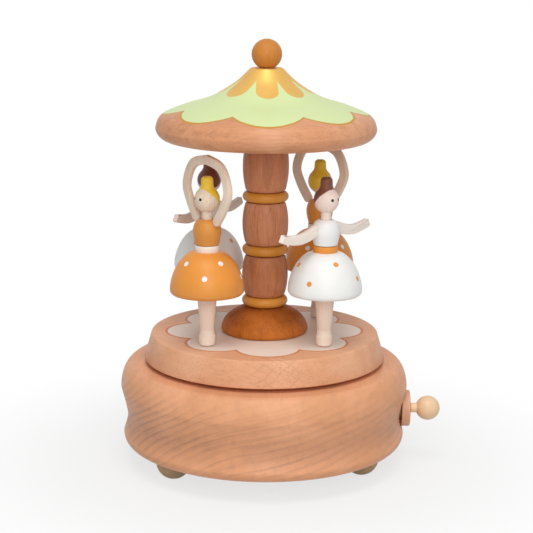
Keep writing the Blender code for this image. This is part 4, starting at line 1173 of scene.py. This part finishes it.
@dataclass
class Base:
    """The turned base with its cover, feet and screws."""

    cavity_r: float = 43.99
    cover_r: float = 51.69
    cover_thickness: float = 2.5
    cover_edge: float = 0.4
    underside_r: float = 53.59
    underside_start: float = -70.0
    lower_lobe: Point = (57.19, 3.9)
    groove: Point = (55.59, 11.6)
    upper_lobe: Point = (58.19, 23.4)
    height: float = 33.2
    shoulder_width: float = 5.2
    ceiling_z: float = 25.6
    crank_z: float = 12.9
    recess_r: float = 8.8
    recess_x: float = 54.99
    bore_r: float = 3.8
    spindle_hole_r: float = 4.3
    foot_ring_r: float = 43.39
    first_foot: float = 65.0
    foot_r: float = 7.0
    foot_flat_r: float = 3.0
    foot_reach: float = 8.6
    foot_recess: float = 1.0
    peg_r: float = 2.5
    screw_ring_r: float = 47.84
    frame_screws: tuple[Point, ...] = ((-1.95, 5.9), (16.5, 5.9))
    frame_screw_tip: float = 4.3
    screw_r: float = 1.25
    screw_head_r: float = 2.4
    screw_head_height: float = 1.1
    screw_face_r: float = 1.7
    screw_bevel: float = 0.55
    drive_r: float = 0.75
    drive_floor_r: float = 0.55
    drive_depth: float = 0.45
    screw_length: float = 10.5
    screw_seat_z: float = 0.1

    def foot_places(self) -> list[Point]:
        """Return where the three feet stand."""
        return [on_ring(self.foot_ring_r, self.first_foot + 120 * number)
                for number in range(3)]

    def screw_places(self) -> list[Point]:
        """Return where the three screws of the cover go."""
        return [on_ring(self.screw_ring_r, self.first_foot + 60 + 120 * number)
                for number in range(3)]

    def outline(self) -> list[Point]:
        """Draw the body's outline, from the hollow round to the ceiling.

        Returns:
            The outline as radius and height.
        """
        ledge_z = self.cover_thickness + FIT
        side = smooth_curve([self.lower_lobe, self.groove, self.upper_lobe], 20)
        rounded = (self.lower_lobe[0] - self.underside_r, self.lower_lobe[1])
        shoulder = (self.shoulder_width, self.height - self.upper_lobe[1])
        return [(self.cavity_r, ledge_z), (self.cover_r + FIT, ledge_z),
                (self.cover_r + FIT, 0), (self.underside_r, 0),
                *arc((self.underside_r, self.lower_lobe[1]), rounded,
                     self.underside_start, 0, 10),
                *side[1:-1],
                *arc((self.upper_lobe[0] - self.shoulder_width, self.upper_lobe[1]), shoulder,
                     0, 90, 24),
                (0, self.height), (0, self.ceiling_z), (self.cavity_r, self.ceiling_z)]

    def build_body(self) -> None:
        """Turn the body and bore its holes."""
        body = turned("base_turned_body", self.outline(), BASE_BEECH,
                      Seat(Body.BASE, Slot.BEECH, "base_body"), 192)
        cut(body, bore(self.spindle_hole_r, self.ceiling_z - OVER, self.height + OVER), at(0, 0))
        sideways = at(0, 0, self.crank_z) @ ALONG_X
        cut(body, bore(self.recess_r, self.recess_x, self.upper_lobe[0] + OVER), sideways, 96)
        cut(body, bore(self.bore_r, self.cavity_r - 2 * OVER, self.recess_x + OVER), sideways)
        depth = self.screw_length + self.screw_head_height + self.screw_seat_z + FIT
        for x, y in self.screw_places():
            cut(body, bore(self.screw_r + FIT, -OVER, depth), at(x, y), 24)

    def build_cover(self) -> None:
        """Cut the round cover with its recesses and holes."""
        rim = self.cover_r
        top = self.cover_thickness
        outline = [(0, 0), (rim - self.cover_edge, 0), (rim, self.cover_edge), (rim, top),
                   (0, top)]
        cover = turned("cover_disc", outline, PLYWOOD,
                       Seat(Body.BASE, Slot.PLYWOOD, "bottom_cover"), 160)
        for x, y in self.foot_places():
            cut(cover, bore(self.foot_r + FIT, -OVER, self.foot_recess), at(x, y))
            cut(cover, bore(self.peg_r + FIT, 0, top + OVER), at(x, y), 32)
        seat_z = self.screw_seat_z + self.screw_head_height + FIT
        head_r = self.screw_head_r + FIT
        hole_r = self.screw_r + FIT
        countersink = [(0, -OVER), (head_r, -OVER), (head_r, seat_z), (hole_r, seat_z),
                       (hole_r, top + OVER), (0, top + OVER)]
        for x, y in [*self.screw_places(), *self.frame_screws]:
            cut(cover, countersink, at(x, y), 40)

    def build_feet(self) -> None:
        """Turn the three round feet."""
        flat = math.degrees(math.asin(self.foot_flat_r / self.foot_r))
        centre_z = -self.foot_reach + self.foot_r * math.cos(math.radians(flat))
        top_z = self.foot_recess - FIT
        top = math.degrees(math.asin((top_z - centre_z) / self.foot_r))
        peg_top = self.cover_thickness - FIT
        outline = [(0, -self.foot_reach),
                   *arc((0, centre_z), (self.foot_r, self.foot_r), flat - 90, top, 24),
                   (self.peg_r, top_z), (self.peg_r, peg_top), (0, peg_top)]
        for number, (x, y) in enumerate(self.foot_places(), 1):
            turned(f"turned_foot_{number}", outline, FOOT_OLIVE,
                   Seat(Body.BASE, Slot.OLIVE, f"foot_{number}", x, y), 72)

    def build_screw(self, node: str, place: Point, length: float) -> None:
        """Turn one screw with the recess in its head.

        Args:
            node: The node that it stands for.
            place: Where it stands.
            length: The length of its shank.
        """
        low = -self.screw_head_height
        floor = low + self.drive_depth
        outline = [(0, floor), (self.drive_floor_r, floor), (self.drive_r, low),
                   (self.screw_face_r, low), (self.screw_head_r, low + self.screw_bevel),
                   (self.screw_head_r, 0), (self.screw_r, 0),
                   (self.screw_r, length - self.screw_r), (0, length)]
        turned(f"{node}_turned", outline, STEEL,
               Seat(Body.BASE, Slot.STEEL, node, *place, self.screw_seat_z - low), 32)

    def build(self) -> None:
        """Build everything in the base."""
        self.build_body()
        self.build_cover()
        self.build_feet()
        for number, place in enumerate(self.screw_places(), 1):
            self.build_screw(f"cover_screw_{number}", place, self.screw_length)
        short = self.frame_screw_tip - self.screw_seat_z - self.screw_head_height
        for number, place in enumerate(self.frame_screws, 1):
            self.build_screw(f"frame_screw_{number}", place, short)


@dataclass
class Platform:
    """The turning platform with the painted flower."""

    bottom_z: float = 34.8
    top_z: float = 45.2
    bottom_r: float = 48.6
    top_r: float = 45.9
    edge: float = 0.7
    slant: float = 12.0
    flange_r: float = 9.3
    flange_top: float = 37.6
    socket_r: float = 3.3
    socket_depth: float = 6.2
    peg_hole_r: float = 1.8
    peg_hole_depth: float = 4.3

    def outline(self) -> list[Point]:
        """Draw the disc's outline with its slanted, softened side.

        Returns:
            The outline as radius and height.
        """
        radii = (self.edge, self.edge)
        low = (self.bottom_r - self.edge, self.bottom_z + self.edge)
        high = (self.top_r - self.edge, self.top_z - self.edge)
        return [(0, self.flange_top), (self.flange_r, self.flange_top),
                (self.flange_r, self.bottom_z), *arc(low, radii, -90, -self.slant, 6),
                *arc(high, radii, self.slant, 90, 6), (0, self.top_z)]

    def build(self) -> None:
        """Turn the disc and bore its sockets."""
        disc = turned("platform_disc", self.outline(), FLOWER_TOP,
                      Seat(Body.TURNTABLE, Slot.BEECH, "turntable_platform"), 192)
        top = self.top_z
        cut(disc, bore(self.socket_r, top - self.socket_depth, top + OVER), at(0, 0), 48)
        for dancer in DANCERS:
            cut(disc, bore(self.peg_hole_r, top - self.peg_hole_depth, top + OVER),
                at(*dancer.place()), 32)


@dataclass
class Column:
    """The stack of barrels and rings on the dome foot."""

    hole_r: float = 3.3
    start_z: float = 45.5
    grain_turn: float = 37.0     # degrees per millimetre, so that no two grains line up
    dome_r: float = 17.5
    dome_height: float = 10.4
    dome_rise: float = 10.6
    dome_lip: float = 0.9
    lip_share: float = 0.6
    ring_r: float = 9.2
    ring_height: float = 4.0
    barrel_r: float = 9.2
    barrel_end_r: float = 7.8
    barrel_edge: float = 0.2
    fullness: float = 0.75
    barrel_steps: int = 28
    lower_height: float = 16.4
    middle_height: float = 16.9
    upper_height: float = 19.8

    def dome(self) -> list[Point]:
        """Draw the dome foot's outline.

        Returns:
            The outline as radius and height.
        """
        end = math.degrees(math.asin((self.dome_height - self.dome_lip) / self.dome_rise))
        return [(self.hole_r, 0), (self.dome_r - self.dome_lip * self.lip_share, 0),
                *arc((0, self.dome_lip), (self.dome_r, self.dome_rise), 0, end, 36),
                (self.hole_r, self.dome_height)]

    def ring(self) -> list[Point]:
        """Draw a ring's outline with its rounded rim.

        Returns:
            The outline as radius and height.
        """
        half = self.ring_height / 2
        return [(self.hole_r, 0), *arc((self.ring_r - half, half), (half, half), -90, 90, 20),
                (self.hole_r, self.ring_height)]

    def barrel(self, height: float) -> list[Point]:
        """Draw a barrel's outline.

        Args:
            height: The barrel's height.

        Returns:
            The outline as radius and height.
        """
        edge = self.barrel_end_r - self.barrel_edge
        swell = self.barrel_r - self.barrel_end_r
        shares = [step / self.barrel_steps for step in range(1, self.barrel_steps)]
        side = [(self.barrel_end_r + swell * math.sin(math.pi * share) ** self.fullness,
                 height * share) for share in shares]
        return [(self.hole_r, 0), (edge, 0), *side, (edge, height), (self.hole_r, height)]

    def build(self) -> None:
        """Stack the column from the platform up to the roof."""
        ring = (self.ring(), self.ring_height, MUSTARD, Slot.MUSTARD)
        barrels = [(self.barrel(height), height, finish, Slot.REDDISH)
                   for height, finish in ((self.lower_height, REDDISH_BEECH),
                                          (self.middle_height, ROSY_BEECH),
                                          (self.upper_height, ROSY_BEECH))]
        parts = [("dome_foot", self.dome(), self.dome_height, ORANGE_STAIN, Slot.STAIN)]
        for level, barrel in zip(("lower", "middle", "upper"), barrels):
            parts += [(f"ring_{level}", *ring), (f"barrel_{level}", *barrel)]
        height = self.start_z
        for name, outline, size, finish, slot in parts:
            turned(f"{name}_turned", outline, finish,
                   Seat(Body.TURNTABLE, slot, f"column_{name}", z=height,
                        turn=self.grain_turn * height), 112)
            height += size + FIT
        dress_node("column_rod", PLYWOOD)


@dataclass
class Canopy:
    """The roof with its painted scallops and star, and the finial ball."""

    roof_z: float = 123.1
    underside_r: float = 38.0
    height: float = 28.5
    rim: Point = (43.8, 5.1)
    shoulder: Point = (41.6, 9.6)
    eave: Point = (33.3, 13.4)
    middle: Point = (22.3, 16.9)
    neck: Point = (12.4, 22.8)
    top_r: float = 6.3
    top_edge: Point = (0.3, 0.25)
    top_swell: float = 0.05
    rod_hole_r: float = 3.3
    rod_hole_depth: float = 13.0
    peg_hole_r: float = 1.8
    peg_length: float = 4.0
    peg_r: float = 1.5
    finial_r: float = 6.0
    finial_flat_r: float = 3.3

    def outline(self) -> list[Point]:
        """Draw the roof's outline with both of its holes.

        Returns:
            The outline as radius and height.
        """
        rise = self.rim[1]
        under = arc((self.underside_r, rise), (self.rim[0] - self.underside_r, rise), -90, 0, 16)
        slope = smooth_curve([self.rim, self.shoulder, self.eave, self.middle, self.neck,
                              (self.top_r, self.height)], 14)
        hole_low = self.height - self.peg_length - FIT
        return [(0, self.rod_hole_depth), (self.rod_hole_r, self.rod_hole_depth),
                (self.rod_hole_r, 0), *under, *slope[1:-1],
                (self.top_r + self.top_swell, self.height - self.top_edge[1]),
                (self.top_r - self.top_edge[0], self.height),
                (self.peg_hole_r, self.height), (self.peg_hole_r, hole_low), (0, hole_low)]

    def build(self) -> None:
        """Turn the roof and the finial ball."""
        turned("roof_turned", self.outline(), CANOPY,
               Seat(Body.TURNTABLE, Slot.GREEN, "canopy_roof", z=self.roof_z), 192)
        flat = math.degrees(math.asin(self.finial_flat_r / self.finial_r))
        centre_z = FIT + self.finial_r * math.cos(math.radians(flat))
        ball = arc((0, centre_z), (self.finial_r, self.finial_r), flat - 90, 90, 40)
        outline = [(0, -self.peg_length), (self.peg_r, -self.peg_length), (self.peg_r, FIT),
                   *ball[:-1], (0, centre_z + self.finial_r)]
        turned("finial_turned", outline, ORANGE_TAN,
               Seat(Body.TURNTABLE, Slot.ORANGE_TAN, "finial_ball",
                    z=self.roof_z + self.height), 80)


@dataclass
class Dancer:
    """One dancer; heights are above the platform and its own front is -Y."""

    name: str
    ring_angle: float
    facing: float
    arms: Arms
    dress: Dress
    dot_places: tuple[Point, ...]
    gaze: float = 0.0
    ring_r: float = 32.4
    platform_z: float = 45.2
    peg_r: float = 1.5
    peg_length: float = 4.0
    shoe_r: float = 3.1
    shoe_edge: Point = (0.35, 0.4)
    instep: Point = (3.35, 4.0)
    ankle: Point = (2.85, 7.3)
    thigh_r: float = 4.2
    hem_z: float = 21.0
    hem_r: float = 13.7
    hem_width: float = 1.0
    hem_swell: float = 0.25
    hem_swell_share: float = 0.45
    skirt_r: float = 14.5
    widest_z: float = 22.7
    fullness: float = 1.75
    skirt_steps: int = 36
    hollow: float = 2.8
    waist_z: float = 37.7
    waist_r: float = 4.6
    band_height: float = 2.5
    band_step: float = 0.12
    band_edge: float = 0.3
    tenon_r: float = 2.0
    tenon_length: float = 6.0
    bodice_z: float = 40.5
    bodice_height: float = 9.8
    bodice_r: float = 5.5
    bodice_widest_share: float = 0.48
    shoulder_rise_share: float = 0.84
    shoulder_share: float = 0.87
    neck_r: float = 2.0
    neck_height: float = 2.95
    neck_socket: float = 4.0
    head_r: float = 4.95
    head_stretch: float = 1.04
    bun_r: float = 2.5
    bun_flare: float = 15.0      # angle before the bun where the head's round ends
    bun_height: float = 4.5
    bun_side: tuple[Point, ...] = ((1.16, -0.05), (1.00, 0.9), (0.96, 2.0))
    bun_top_share: float = 0.94
    bun_round: float = 0.6
    arm_thickness: float = 2.0
    loop_width: float = 3.6
    loop_half_span: float = 12.7
    loop_tuck_share: float = 0.35
    loop_shoulder: Point = (0.68, 0.24)
    loop_bow: float = 1.2
    loop_widest_z: float = 62.9
    loop_top_z: float = 73.35
    loop_end_z: float = 50.1
    spread_width: float = 4.2
    spread_tip_width: float = 3.2
    spread_tip_x: float = 25.2
    spread_shoulder_z: float = 46.9
    spread_dip: float = 2.4
    spread_bends: tuple[Point, ...] = ((0.3, 0.8), (0.6, 1.0))
    spread_tip_z: float = 45.9
    spread_slant: float = 0.6

    def place(self) -> Point:
        """Return where the dancer stands on the platform."""
        return on_ring(self.ring_r, self.ring_angle)

    def seat(self, part: str, slot: Slot) -> Seat:
        """Return the seat of one of the dancer's parts."""
        return Seat(Body.TURNTABLE, slot, f"{self.name}_dancer_{part}", *self.place(),
                    self.platform_z, self.facing)

    def is_orange(self) -> bool:
        """Return whether the dress is the orange one."""
        return self.dress is Dress.ORANGE

    def skirt_radius(self, height: float) -> float:
        """Work out the skirt's radius at a height.

        Args:
            height: The height above the platform.

        Returns:
            The radius there.
        """
        power = 2 / self.fullness
        share = max(height - self.widest_z, 0.0) / (self.waist_z - self.widest_z)
        sine = share ** (1 / power)
        return self.waist_r + (self.skirt_r - self.waist_r) * math.sqrt(
            max(1 - sine ** 2, 0.0)) ** power

    def head_centre_z(self) -> float:
        """Work out the height of the head's middle.

        Returns:
            The height above the platform.
        """
        angle = math.acos(self.neck_r / self.head_r)
        return (self.bodice_z + self.bodice_height + self.neck_height
                + self.head_r * self.head_stretch * math.sin(angle))

    def skirt_finish(self) -> SkirtFinish:
        """Mix the skirt's paint with this dancer's own dots.

        Returns:
            The finish.
        """
        paints = ((ORANGE, WHITE, CREAM_BAND, ORANGE_BODICE) if self.is_orange()
                  else (WHITE, ORANGE, ORANGE, WHITE))
        dots = tuple((*on_ring(self.skirt_radius(height), angle - self.facing), height)
                     for angle, height in self.dot_places)
        return SkirtFinish(f"{self.name}_skirt_paint", *paints, dots, self.hem_z, self.waist_z)

    def head_finish(self) -> HeadFinish:
        """Mix the head's finish with this dancer's own hair.

        Returns:
            The finish.
        """
        skin = SKIN_WOOD if self.is_orange() else ROSY_SKIN_WOOD
        hair = YELLOW_HAIR if self.is_orange() else BROWN_HAIR
        return HeadFinish(f"{self.name}_head_paint", skin, hair, EYE_BLACK,
                          self.head_centre_z(), self.head_r, self.gaze)

    def legs(self) -> list[Point]:
        """Draw the outline of the legs with their peg and tenon.

        Returns:
            The outline as radius and height.
        """
        thigh_z = self.hem_z + self.hollow - FIT
        top = thigh_z + self.tenon_length
        return [(0, -self.peg_length), (self.peg_r, -self.peg_length), (self.peg_r, FIT),
                (self.shoe_r - self.shoe_edge[0], FIT), (self.shoe_r, FIT + self.shoe_edge[1]),
                *smooth_curve([self.instep, self.ankle, (self.thigh_r, thigh_z)], 14),
                (self.tenon_r, thigh_z), (self.tenon_r, top), (0, top)]

    def skirt(self) -> list[Point]:
        """Draw the skirt's outline with the hollow underneath and the waist band.

        Returns:
            The outline as radius and height.
        """
        hollow_z = self.hem_z + self.hollow
        socket_z = hollow_z + self.tenon_length
        inner = self.tenon_r + FIT
        halfway = ((self.hem_r + self.skirt_r) / 2 + self.hem_swell,
                   self.hem_z + (self.widest_z - self.hem_z) * self.hem_swell_share)
        flare = smooth_curve([(self.hem_r, self.hem_z), halfway,
                              (self.skirt_r, self.widest_z)], 5)
        angles = [math.pi / 2 * step / self.skirt_steps for step in range(self.skirt_steps + 1)]
        power = 2 / self.fullness
        dome = [(self.waist_r + (self.skirt_r - self.waist_r) * math.cos(angle) ** power,
                 self.widest_z + (self.waist_z - self.widest_z) * math.sin(angle) ** power)
                for angle in angles]
        band_r = self.waist_r + self.band_step
        band_top = self.waist_z + self.band_height
        return [(0, socket_z), (inner, socket_z), (inner, hollow_z),
                (self.thigh_r + 2 * FIT, hollow_z), (self.hem_r - self.hem_width, self.hem_z),
                (self.hem_r, self.hem_z), *flare[1:-1], *dome,
                (band_r, self.waist_z + self.band_edge), (band_r, band_top - self.band_edge),
                (self.waist_r, band_top), (0, band_top)]

    def bodice(self) -> list[Point]:
        """Draw the bodice's outline with the socket for the neck.

        Returns:
            The outline as radius and height.
        """
        low = self.bodice_z
        top = low + self.bodice_height
        socket_z = top - self.neck_socket
        inner = self.neck_r + FIT
        side = smooth_curve([
            (self.waist_r, low),
            (self.bodice_r, low + self.bodice_height * self.bodice_widest_share),
            (self.bodice_r * self.shoulder_share,
             low + self.bodice_height * self.shoulder_rise_share),
            (self.neck_r + 3 * FIT, top),
        ], 12)
        return [(0, low), *side, (inner, top), (inner, socket_z), (0, socket_z)]

    def head(self) -> list[Point]:
        """Draw the outline of the neck, the head and the bun.

        Returns:
            The outline as radius and height.
        """
        low = self.bodice_z + self.bodice_height + FIT - self.neck_socket
        tall_r = self.head_r * self.head_stretch
        centre_z = self.head_centre_z()
        start = -math.degrees(math.acos(self.neck_r / self.head_r))
        end = math.degrees(math.acos(self.bun_r / self.head_r))
        bun_z = centre_z + tall_r * math.sin(math.radians(end))
        top = bun_z + self.bun_height
        top_r = self.bun_r * self.bun_top_share
        round_r = self.bun_r * self.bun_round
        skull = arc((0, centre_z), (self.head_r, tall_r), start, end - self.bun_flare, 30)
        side = [(self.bun_r * share, bun_z + rise) for share, rise in self.bun_side]
        bun = smooth_curve([skull[-1], *side, (top_r, top - round_r)], 6)
        return [(0, low), (self.neck_r, low), *skull, *bun[1:-1],
                *arc((top_r - round_r, top - round_r), (round_r, round_r), 0, 90, 12),
                (0, top)]

    def loop(self) -> list[Point]:
        """Draw the outline of both arms joined overhead.

        Returns:
            The outline in x and z.
        """
        end_x = self.bodice_r * self.shoulder_share + FIT + self.loop_width * self.loop_tuck_share
        drop = self.loop_top_z - self.loop_widest_z
        half = smooth_curve([
            (end_x, self.loop_end_z),
            ((end_x + self.loop_half_span) / 2 + self.loop_bow,
             (self.loop_end_z + self.loop_widest_z) / 2),
            (self.loop_half_span, self.loop_widest_z),
            (self.loop_half_span * self.loop_shoulder[0],
             self.loop_top_z - drop * self.loop_shoulder[1]),
            (0, self.loop_top_z),
        ], 9)
        middle = half + mirrored(half[:-1])
        left, right = strip(middle, [self.loop_width] * len(middle))
        start = Vector(middle[1]) - Vector(middle[0])
        lean = math.degrees(math.atan2(start.y, start.x))
        radii = (self.loop_width / 2, self.loop_width / 2)
        hand = arc(middle[0], radii, lean - 90, lean - 270, 12)[1:-1]
        return [*hand, *left, *mirrored(hand), *right[::-1]]

    def spread(self) -> list[Point]:
        """Draw the outline of one stretched arm on the +x side.

        Returns:
            The outline in x and z.
        """
        start_x = self.bodice_r + FIT
        length = self.spread_tip_x - start_x
        middle = smooth_curve([
            (start_x, self.spread_shoulder_z),
            *[(start_x + length * share, self.spread_shoulder_z - self.spread_dip * dip)
              for share, dip in self.spread_bends],
            (self.spread_tip_x, self.spread_tip_z),
        ], 9)
        last = len(middle) - 1
        narrower = self.spread_tip_width - self.spread_width
        left, right = strip(middle, [self.spread_width + narrower * (index / last) ** 2
                                     for index in range(last + 1)])
        left[0] = (start_x, left[0][1])
        right[0] = (start_x, right[0][1])
        slant = self.spread_slant
        left[-1] = (left[-1][0] - slant, left[-1][1])
        right[-1] = (right[-1][0] + slant, right[-1][1] + slant)
        return left + right[::-1]

    def build_arms(self) -> None:
        """Saw the arms."""
        if self.arms is Arms.LOOP:
            pieces = [("arms", self.loop(), ARM_WOOD)]
        else:
            pieces = [("arm_left", self.spread(), LEVEL_ARM_WOOD),
                      ("arm_right", mirrored(self.spread()), LEVEL_ARM_WOOD)]
        for part, outline, wood in pieces:
            sawn(f"{self.name}_{part}_sawn", outline, self.arm_thickness, wood,
                 self.seat(part, Slot.SKIN))

    def build(self) -> None:
        """Build the whole dancer."""
        dress = Slot.ORANGE if self.is_orange() else Slot.WHITE
        bodice_paint = ORANGE_BODICE if self.is_orange() else WHITE
        for part, outline, finish, slot, segments in (
                ("legs", self.legs(), LEGS_AND_SHOES, Slot.SKIN, 64),
                ("skirt", self.skirt(), self.skirt_finish(), dress, 112),
                ("bodice", self.bodice(), bodice_paint, dress, 72),
                ("head", self.head(), self.head_finish(), Slot.SKIN, 80)):
            turned(f"{self.name}_{part}_turned", outline, finish, self.seat(part, slot),
                   segments)
        self.build_arms()


DANCERS = (
    Dancer("front_left", -43.8, -50.0, Arms.LOOP, Dress.ORANGE,
           ((-48.0, 34.0), (34.0, 34.5), (125.0, 33.7), (-138.0, 34.1),
            (-2.0, 29.4), (79.0, 28.2), (170.0, 29.0), (-96.0, 28.6))),
    Dancer("front_right", 46.2, 47.0, Arms.SPREAD, Dress.WHITE,
           ((-70.0, 33.2), (22.0, 34.5), (113.0, 33.6), (-159.0, 34.0),
            (-28.0, 27.4), (66.0, 28.3), (155.0, 27.8), (-117.0, 27.2))),
    Dancer("back_right", 136.2, 138.0, Arms.LOOP, Dress.ORANGE,
           ((53.0, 31.7), (-25.0, 31.7), (-115.0, 32.4), (143.0, 32.0),
            (-77.0, 26.3), (13.0, 26.3), (103.0, 27.0), (-167.0, 26.6))),
    Dancer("back_left", -133.8, -120.0, Arms.SPREAD, Dress.WHITE,
           ((62.0, 33.7), (-28.0, 33.7), (-118.0, 34.2), (152.0, 33.4),
            (2.0, 27.0), (92.0, 27.4), (-88.0, 27.0), (-178.0, 27.6)), gaze=-58.0),
)


@dataclass
class Crank:
    """The crank's disc, ball knob and bush outside the base."""

    axis_z: float = 12.9
    disc_x: float = 56.29
    disc_r: float = 7.4
    disc_thickness: float = 3.5
    disc_edge: float = 0.5
    disc_back_edge: float = 0.25
    disc_socket: float = 2.3
    shaft_r: float = 1.5
    knob_offset: float = 4.0
    knob_angle: float = 161.0
    knob_r: float = 4.95
    stem_r: float = 1.95
    knob_reach: float = 7.1
    tenon_r: float = 1.2
    tenon_length: float = 1.7
    bush_flange_x: float = 55.29
    bush_flange_r: float = 5.2
    bush_flange_thickness: float = 0.7
    bush_r: float = 3.5
    bush_inner_x: float = 43.99

    def knob_place(self) -> Point:
        """Return the knob's offset from the shaft, towards +Y and towards +Z."""
        angle = math.radians(self.knob_angle)
        return self.knob_offset * math.cos(angle), self.knob_offset * math.sin(angle)

    def build_disc(self) -> None:
        """Turn the disc with its sockets for the shaft and the knob."""
        face = self.disc_thickness
        inner = self.shaft_r + FIT
        edge = self.disc_edge
        back = self.disc_back_edge
        outline = [(0, self.disc_socket), (inner, self.disc_socket), (inner, 0),
                   (self.disc_r - back, 0), (self.disc_r, back),
                   *arc((self.disc_r - edge, face - edge), (edge, edge), 0, 90, 8), (0, face)]
        disc = turned("crank_disc_turned", outline, DISC_WOOD,
                      Seat(Body.CRANK, Slot.PINKISH, "crank_disc", self.disc_x,
                           z=self.axis_z, lies_along_x=True), 96)
        cut(disc, bore(self.tenon_r + FIT, face - self.tenon_length - FIT, face + OVER),
            at(*self.knob_place()), 32)

    def build_knob(self) -> None:
        """Turn the ball knob with its stem and tenon."""
        side, rise = self.knob_place()
        low = math.degrees(math.asin(self.stem_r / self.knob_r))
        ball = arc((0, self.knob_reach), (self.knob_r, self.knob_r), low - 90, 90, 36)
        outline = [(0, -self.tenon_length), (self.tenon_r, -self.tenon_length),
                   (self.tenon_r, FIT), (self.stem_r, FIT), *ball[:-1],
                   (0, self.knob_reach + self.knob_r)]
        turned("crank_knob_turned", outline, KNOB_WOOD,
               Seat(Body.CRANK, Slot.PALE, "crank_knob", self.disc_x + self.disc_thickness,
                    side, self.axis_z + rise, lies_along_x=True), 72)

    def build_bush(self) -> None:
        """Turn the flanged bush that the shaft runs in."""
        inner = self.shaft_r + FIT
        flange_x = self.bush_flange_x
        outer_x = flange_x + self.bush_flange_thickness
        outline = [(inner, self.bush_inner_x), (self.bush_r, self.bush_inner_x),
                   (self.bush_r, flange_x), (self.bush_flange_r, flange_x),
                   (self.bush_flange_r, outer_x), (inner, outer_x)]
        turned("crank_bush_turned", outline, BRASS_IN_PAINTED_SHADE,
               Seat(Body.BASE, Slot.BRASS, "crank_bush", z=self.axis_z, lies_along_x=True), 64)

    def build(self) -> None:
        """Build the pieces of the crank that show."""
        self.build_disc()
        self.build_knob()
        self.build_bush()
        dress_node("crank_shaft", STEEL)


@dataclass
class Movement:
    """The clockwork inside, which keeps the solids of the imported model."""

    brass_nodes: tuple[str, ...] = ("crown_wheel", "cylinder_gear", "cylinder_pinion",
                                    "idler_gear", "movement_frame", "music_cylinder",
                                    "spindle_bush", "turntable_pinion")
    steel_nodes: tuple[str, ...] = ("comb", "comb_screw_1", "comb_screw_2",
                                    "turntable_spindle")

    def build(self) -> None:
        """Dress the gears, cylinder, frame and comb."""
        for nodes, metal in ((self.brass_nodes, BRASS), (self.steel_nodes, STEEL)):
            for node in nodes:
                dress_node(node, metal)


@dataclass
class Lamp:
    """One soft lamp, aimed at a point; lengths are in metres."""

    name: str
    place: Place
    size: float
    power: float
    aim: Place = (0.0, 0.0, 0.07)

    def build(self) -> None:
        """Hang the lamp and aim it."""
        light = bpy.data.lights.new(self.name, "AREA")
        light.shape = "DISK"
        light.size = self.size
        light.energy = self.power
        lamp = add_object(self.name, light)
        lamp.location = self.place
        aim = Vector(self.aim) - Vector(self.place)
        lamp.rotation_euler = aim.to_track_quat("-Z", "Y").to_euler()


@dataclass
class Studio:
    """The pale floor, the soft lamps, the white surroundings and the camera, in metres."""

    floor_z: float = -0.00863
    floor_r: float = 6.0
    floor_colour: Colour = (0.72, 0.72, 0.72)
    shadow_share: float = 0.28
    shadow_r: float = 0.04       # where the shadow starts to fade into white
    white_r: float = 0.16        # where the floor shows as plain white
    ambient: float = 0.32
    lens: float = 104.75
    sensor: float = 36.0
    camera_place: Place = (0.00060, -0.6105, 0.2057)
    camera_tilt: float = 12.37
    camera_roll: float = 0.52
    lamps: tuple[Lamp, ...] = (Lamp("key", (-0.02, -0.52, 1.30), 0.8, 8.0),
                               Lamp("front", (0.07, -0.85, 0.44), 0.5, 3.15))

    def blend(self, nodes: Nodes, share: Value, first: Value, second: Value) -> Value:
        """Blend two shaders.

        Args:
            nodes: The nodes to add to.
            share: How much of the second there is.
            first: The first shader.
            second: The second shader.

        Returns:
            The blended shader.
        """
        return nodes.plug(nodes.new("MixShader"), {0: share, 1: first, 2: second})

    def build_floor(self) -> None:
        """Lay the floor, which turns plain white away from the object."""
        mesh = bpy.data.meshes.new("floor")
        bm = bmesh.new()
        bmesh.ops.create_circle(bm, cap_ends=True, radius=self.floor_r, segments=96)
        bm.to_mesh(mesh)
        bm.free()
        floor = add_object("floor", mesh)
        floor.location.z = self.floor_z
        material = bpy.data.materials.new("floor_paper")
        material.use_nodes = True
        nodes = Nodes(material.node_tree)
        distance = nodes.plug(nodes.new("TexCoord"), {}, "Object").vector("LENGTH")
        fade = distance.step(self.shadow_r, self.white_r).blend(1.0 - self.shadow_share, 1.0)
        paper = nodes.plug(nodes.new("BsdfDiffuse"), {0: self.floor_colour})
        glow = nodes.plug(nodes.new("Emission"), {})
        shader = self.blend(nodes, fade * nodes.seen_directly(), paper, glow)
        nodes.show("OutputMaterial", shader)
        mesh.materials.append(material)

    def build_world(self) -> None:
        """Surround the scene with soft grey light that shows as white."""
        world = bpy.data.worlds.new("studio")
        bpy.context.scene.world = world
        world.use_nodes = True
        nodes = Nodes(world.node_tree)
        soft, white = (nodes.plug(nodes.new("Background"), {0: (1.0, 1.0, 1.0), 1: strength})
                       for strength in (self.ambient, 1.0))
        nodes.show("OutputWorld", self.blend(nodes, nodes.seen_directly(), soft, white))

    def build_camera(self) -> None:
        """Stand the camera where the photograph was taken from."""
        data = bpy.data.cameras.new("camera")
        data.lens = self.lens
        data.sensor_width = self.sensor
        camera = add_object("camera", data)
        camera.matrix_world = (
            Matrix.Translation(Vector(self.camera_place))
            @ Matrix.Rotation(math.radians(90 - self.camera_tilt), 4, "X")
            @ Matrix.Rotation(math.radians(self.camera_roll), 4, "Z"))
        bpy.context.scene.camera = camera

    def build(self) -> None:
        """Build the whole studio."""
        self.build_floor()
        self.build_world()
        for lamp in self.lamps:
            lamp.build()
        self.build_camera()
        bpy.context.scene.view_settings.view_transform = "Standard"


def main() -> None:
    """Build the studio and every sub-assembly, in order."""
    logging.basicConfig(level=logging.INFO, format="%(message)s")
    Studio().build()
    for part in (Base(), Platform(), Column(), Canopy(), *DANCERS, Crank(), Movement()):
        part.build()


if __name__ == "__main__":
    main()
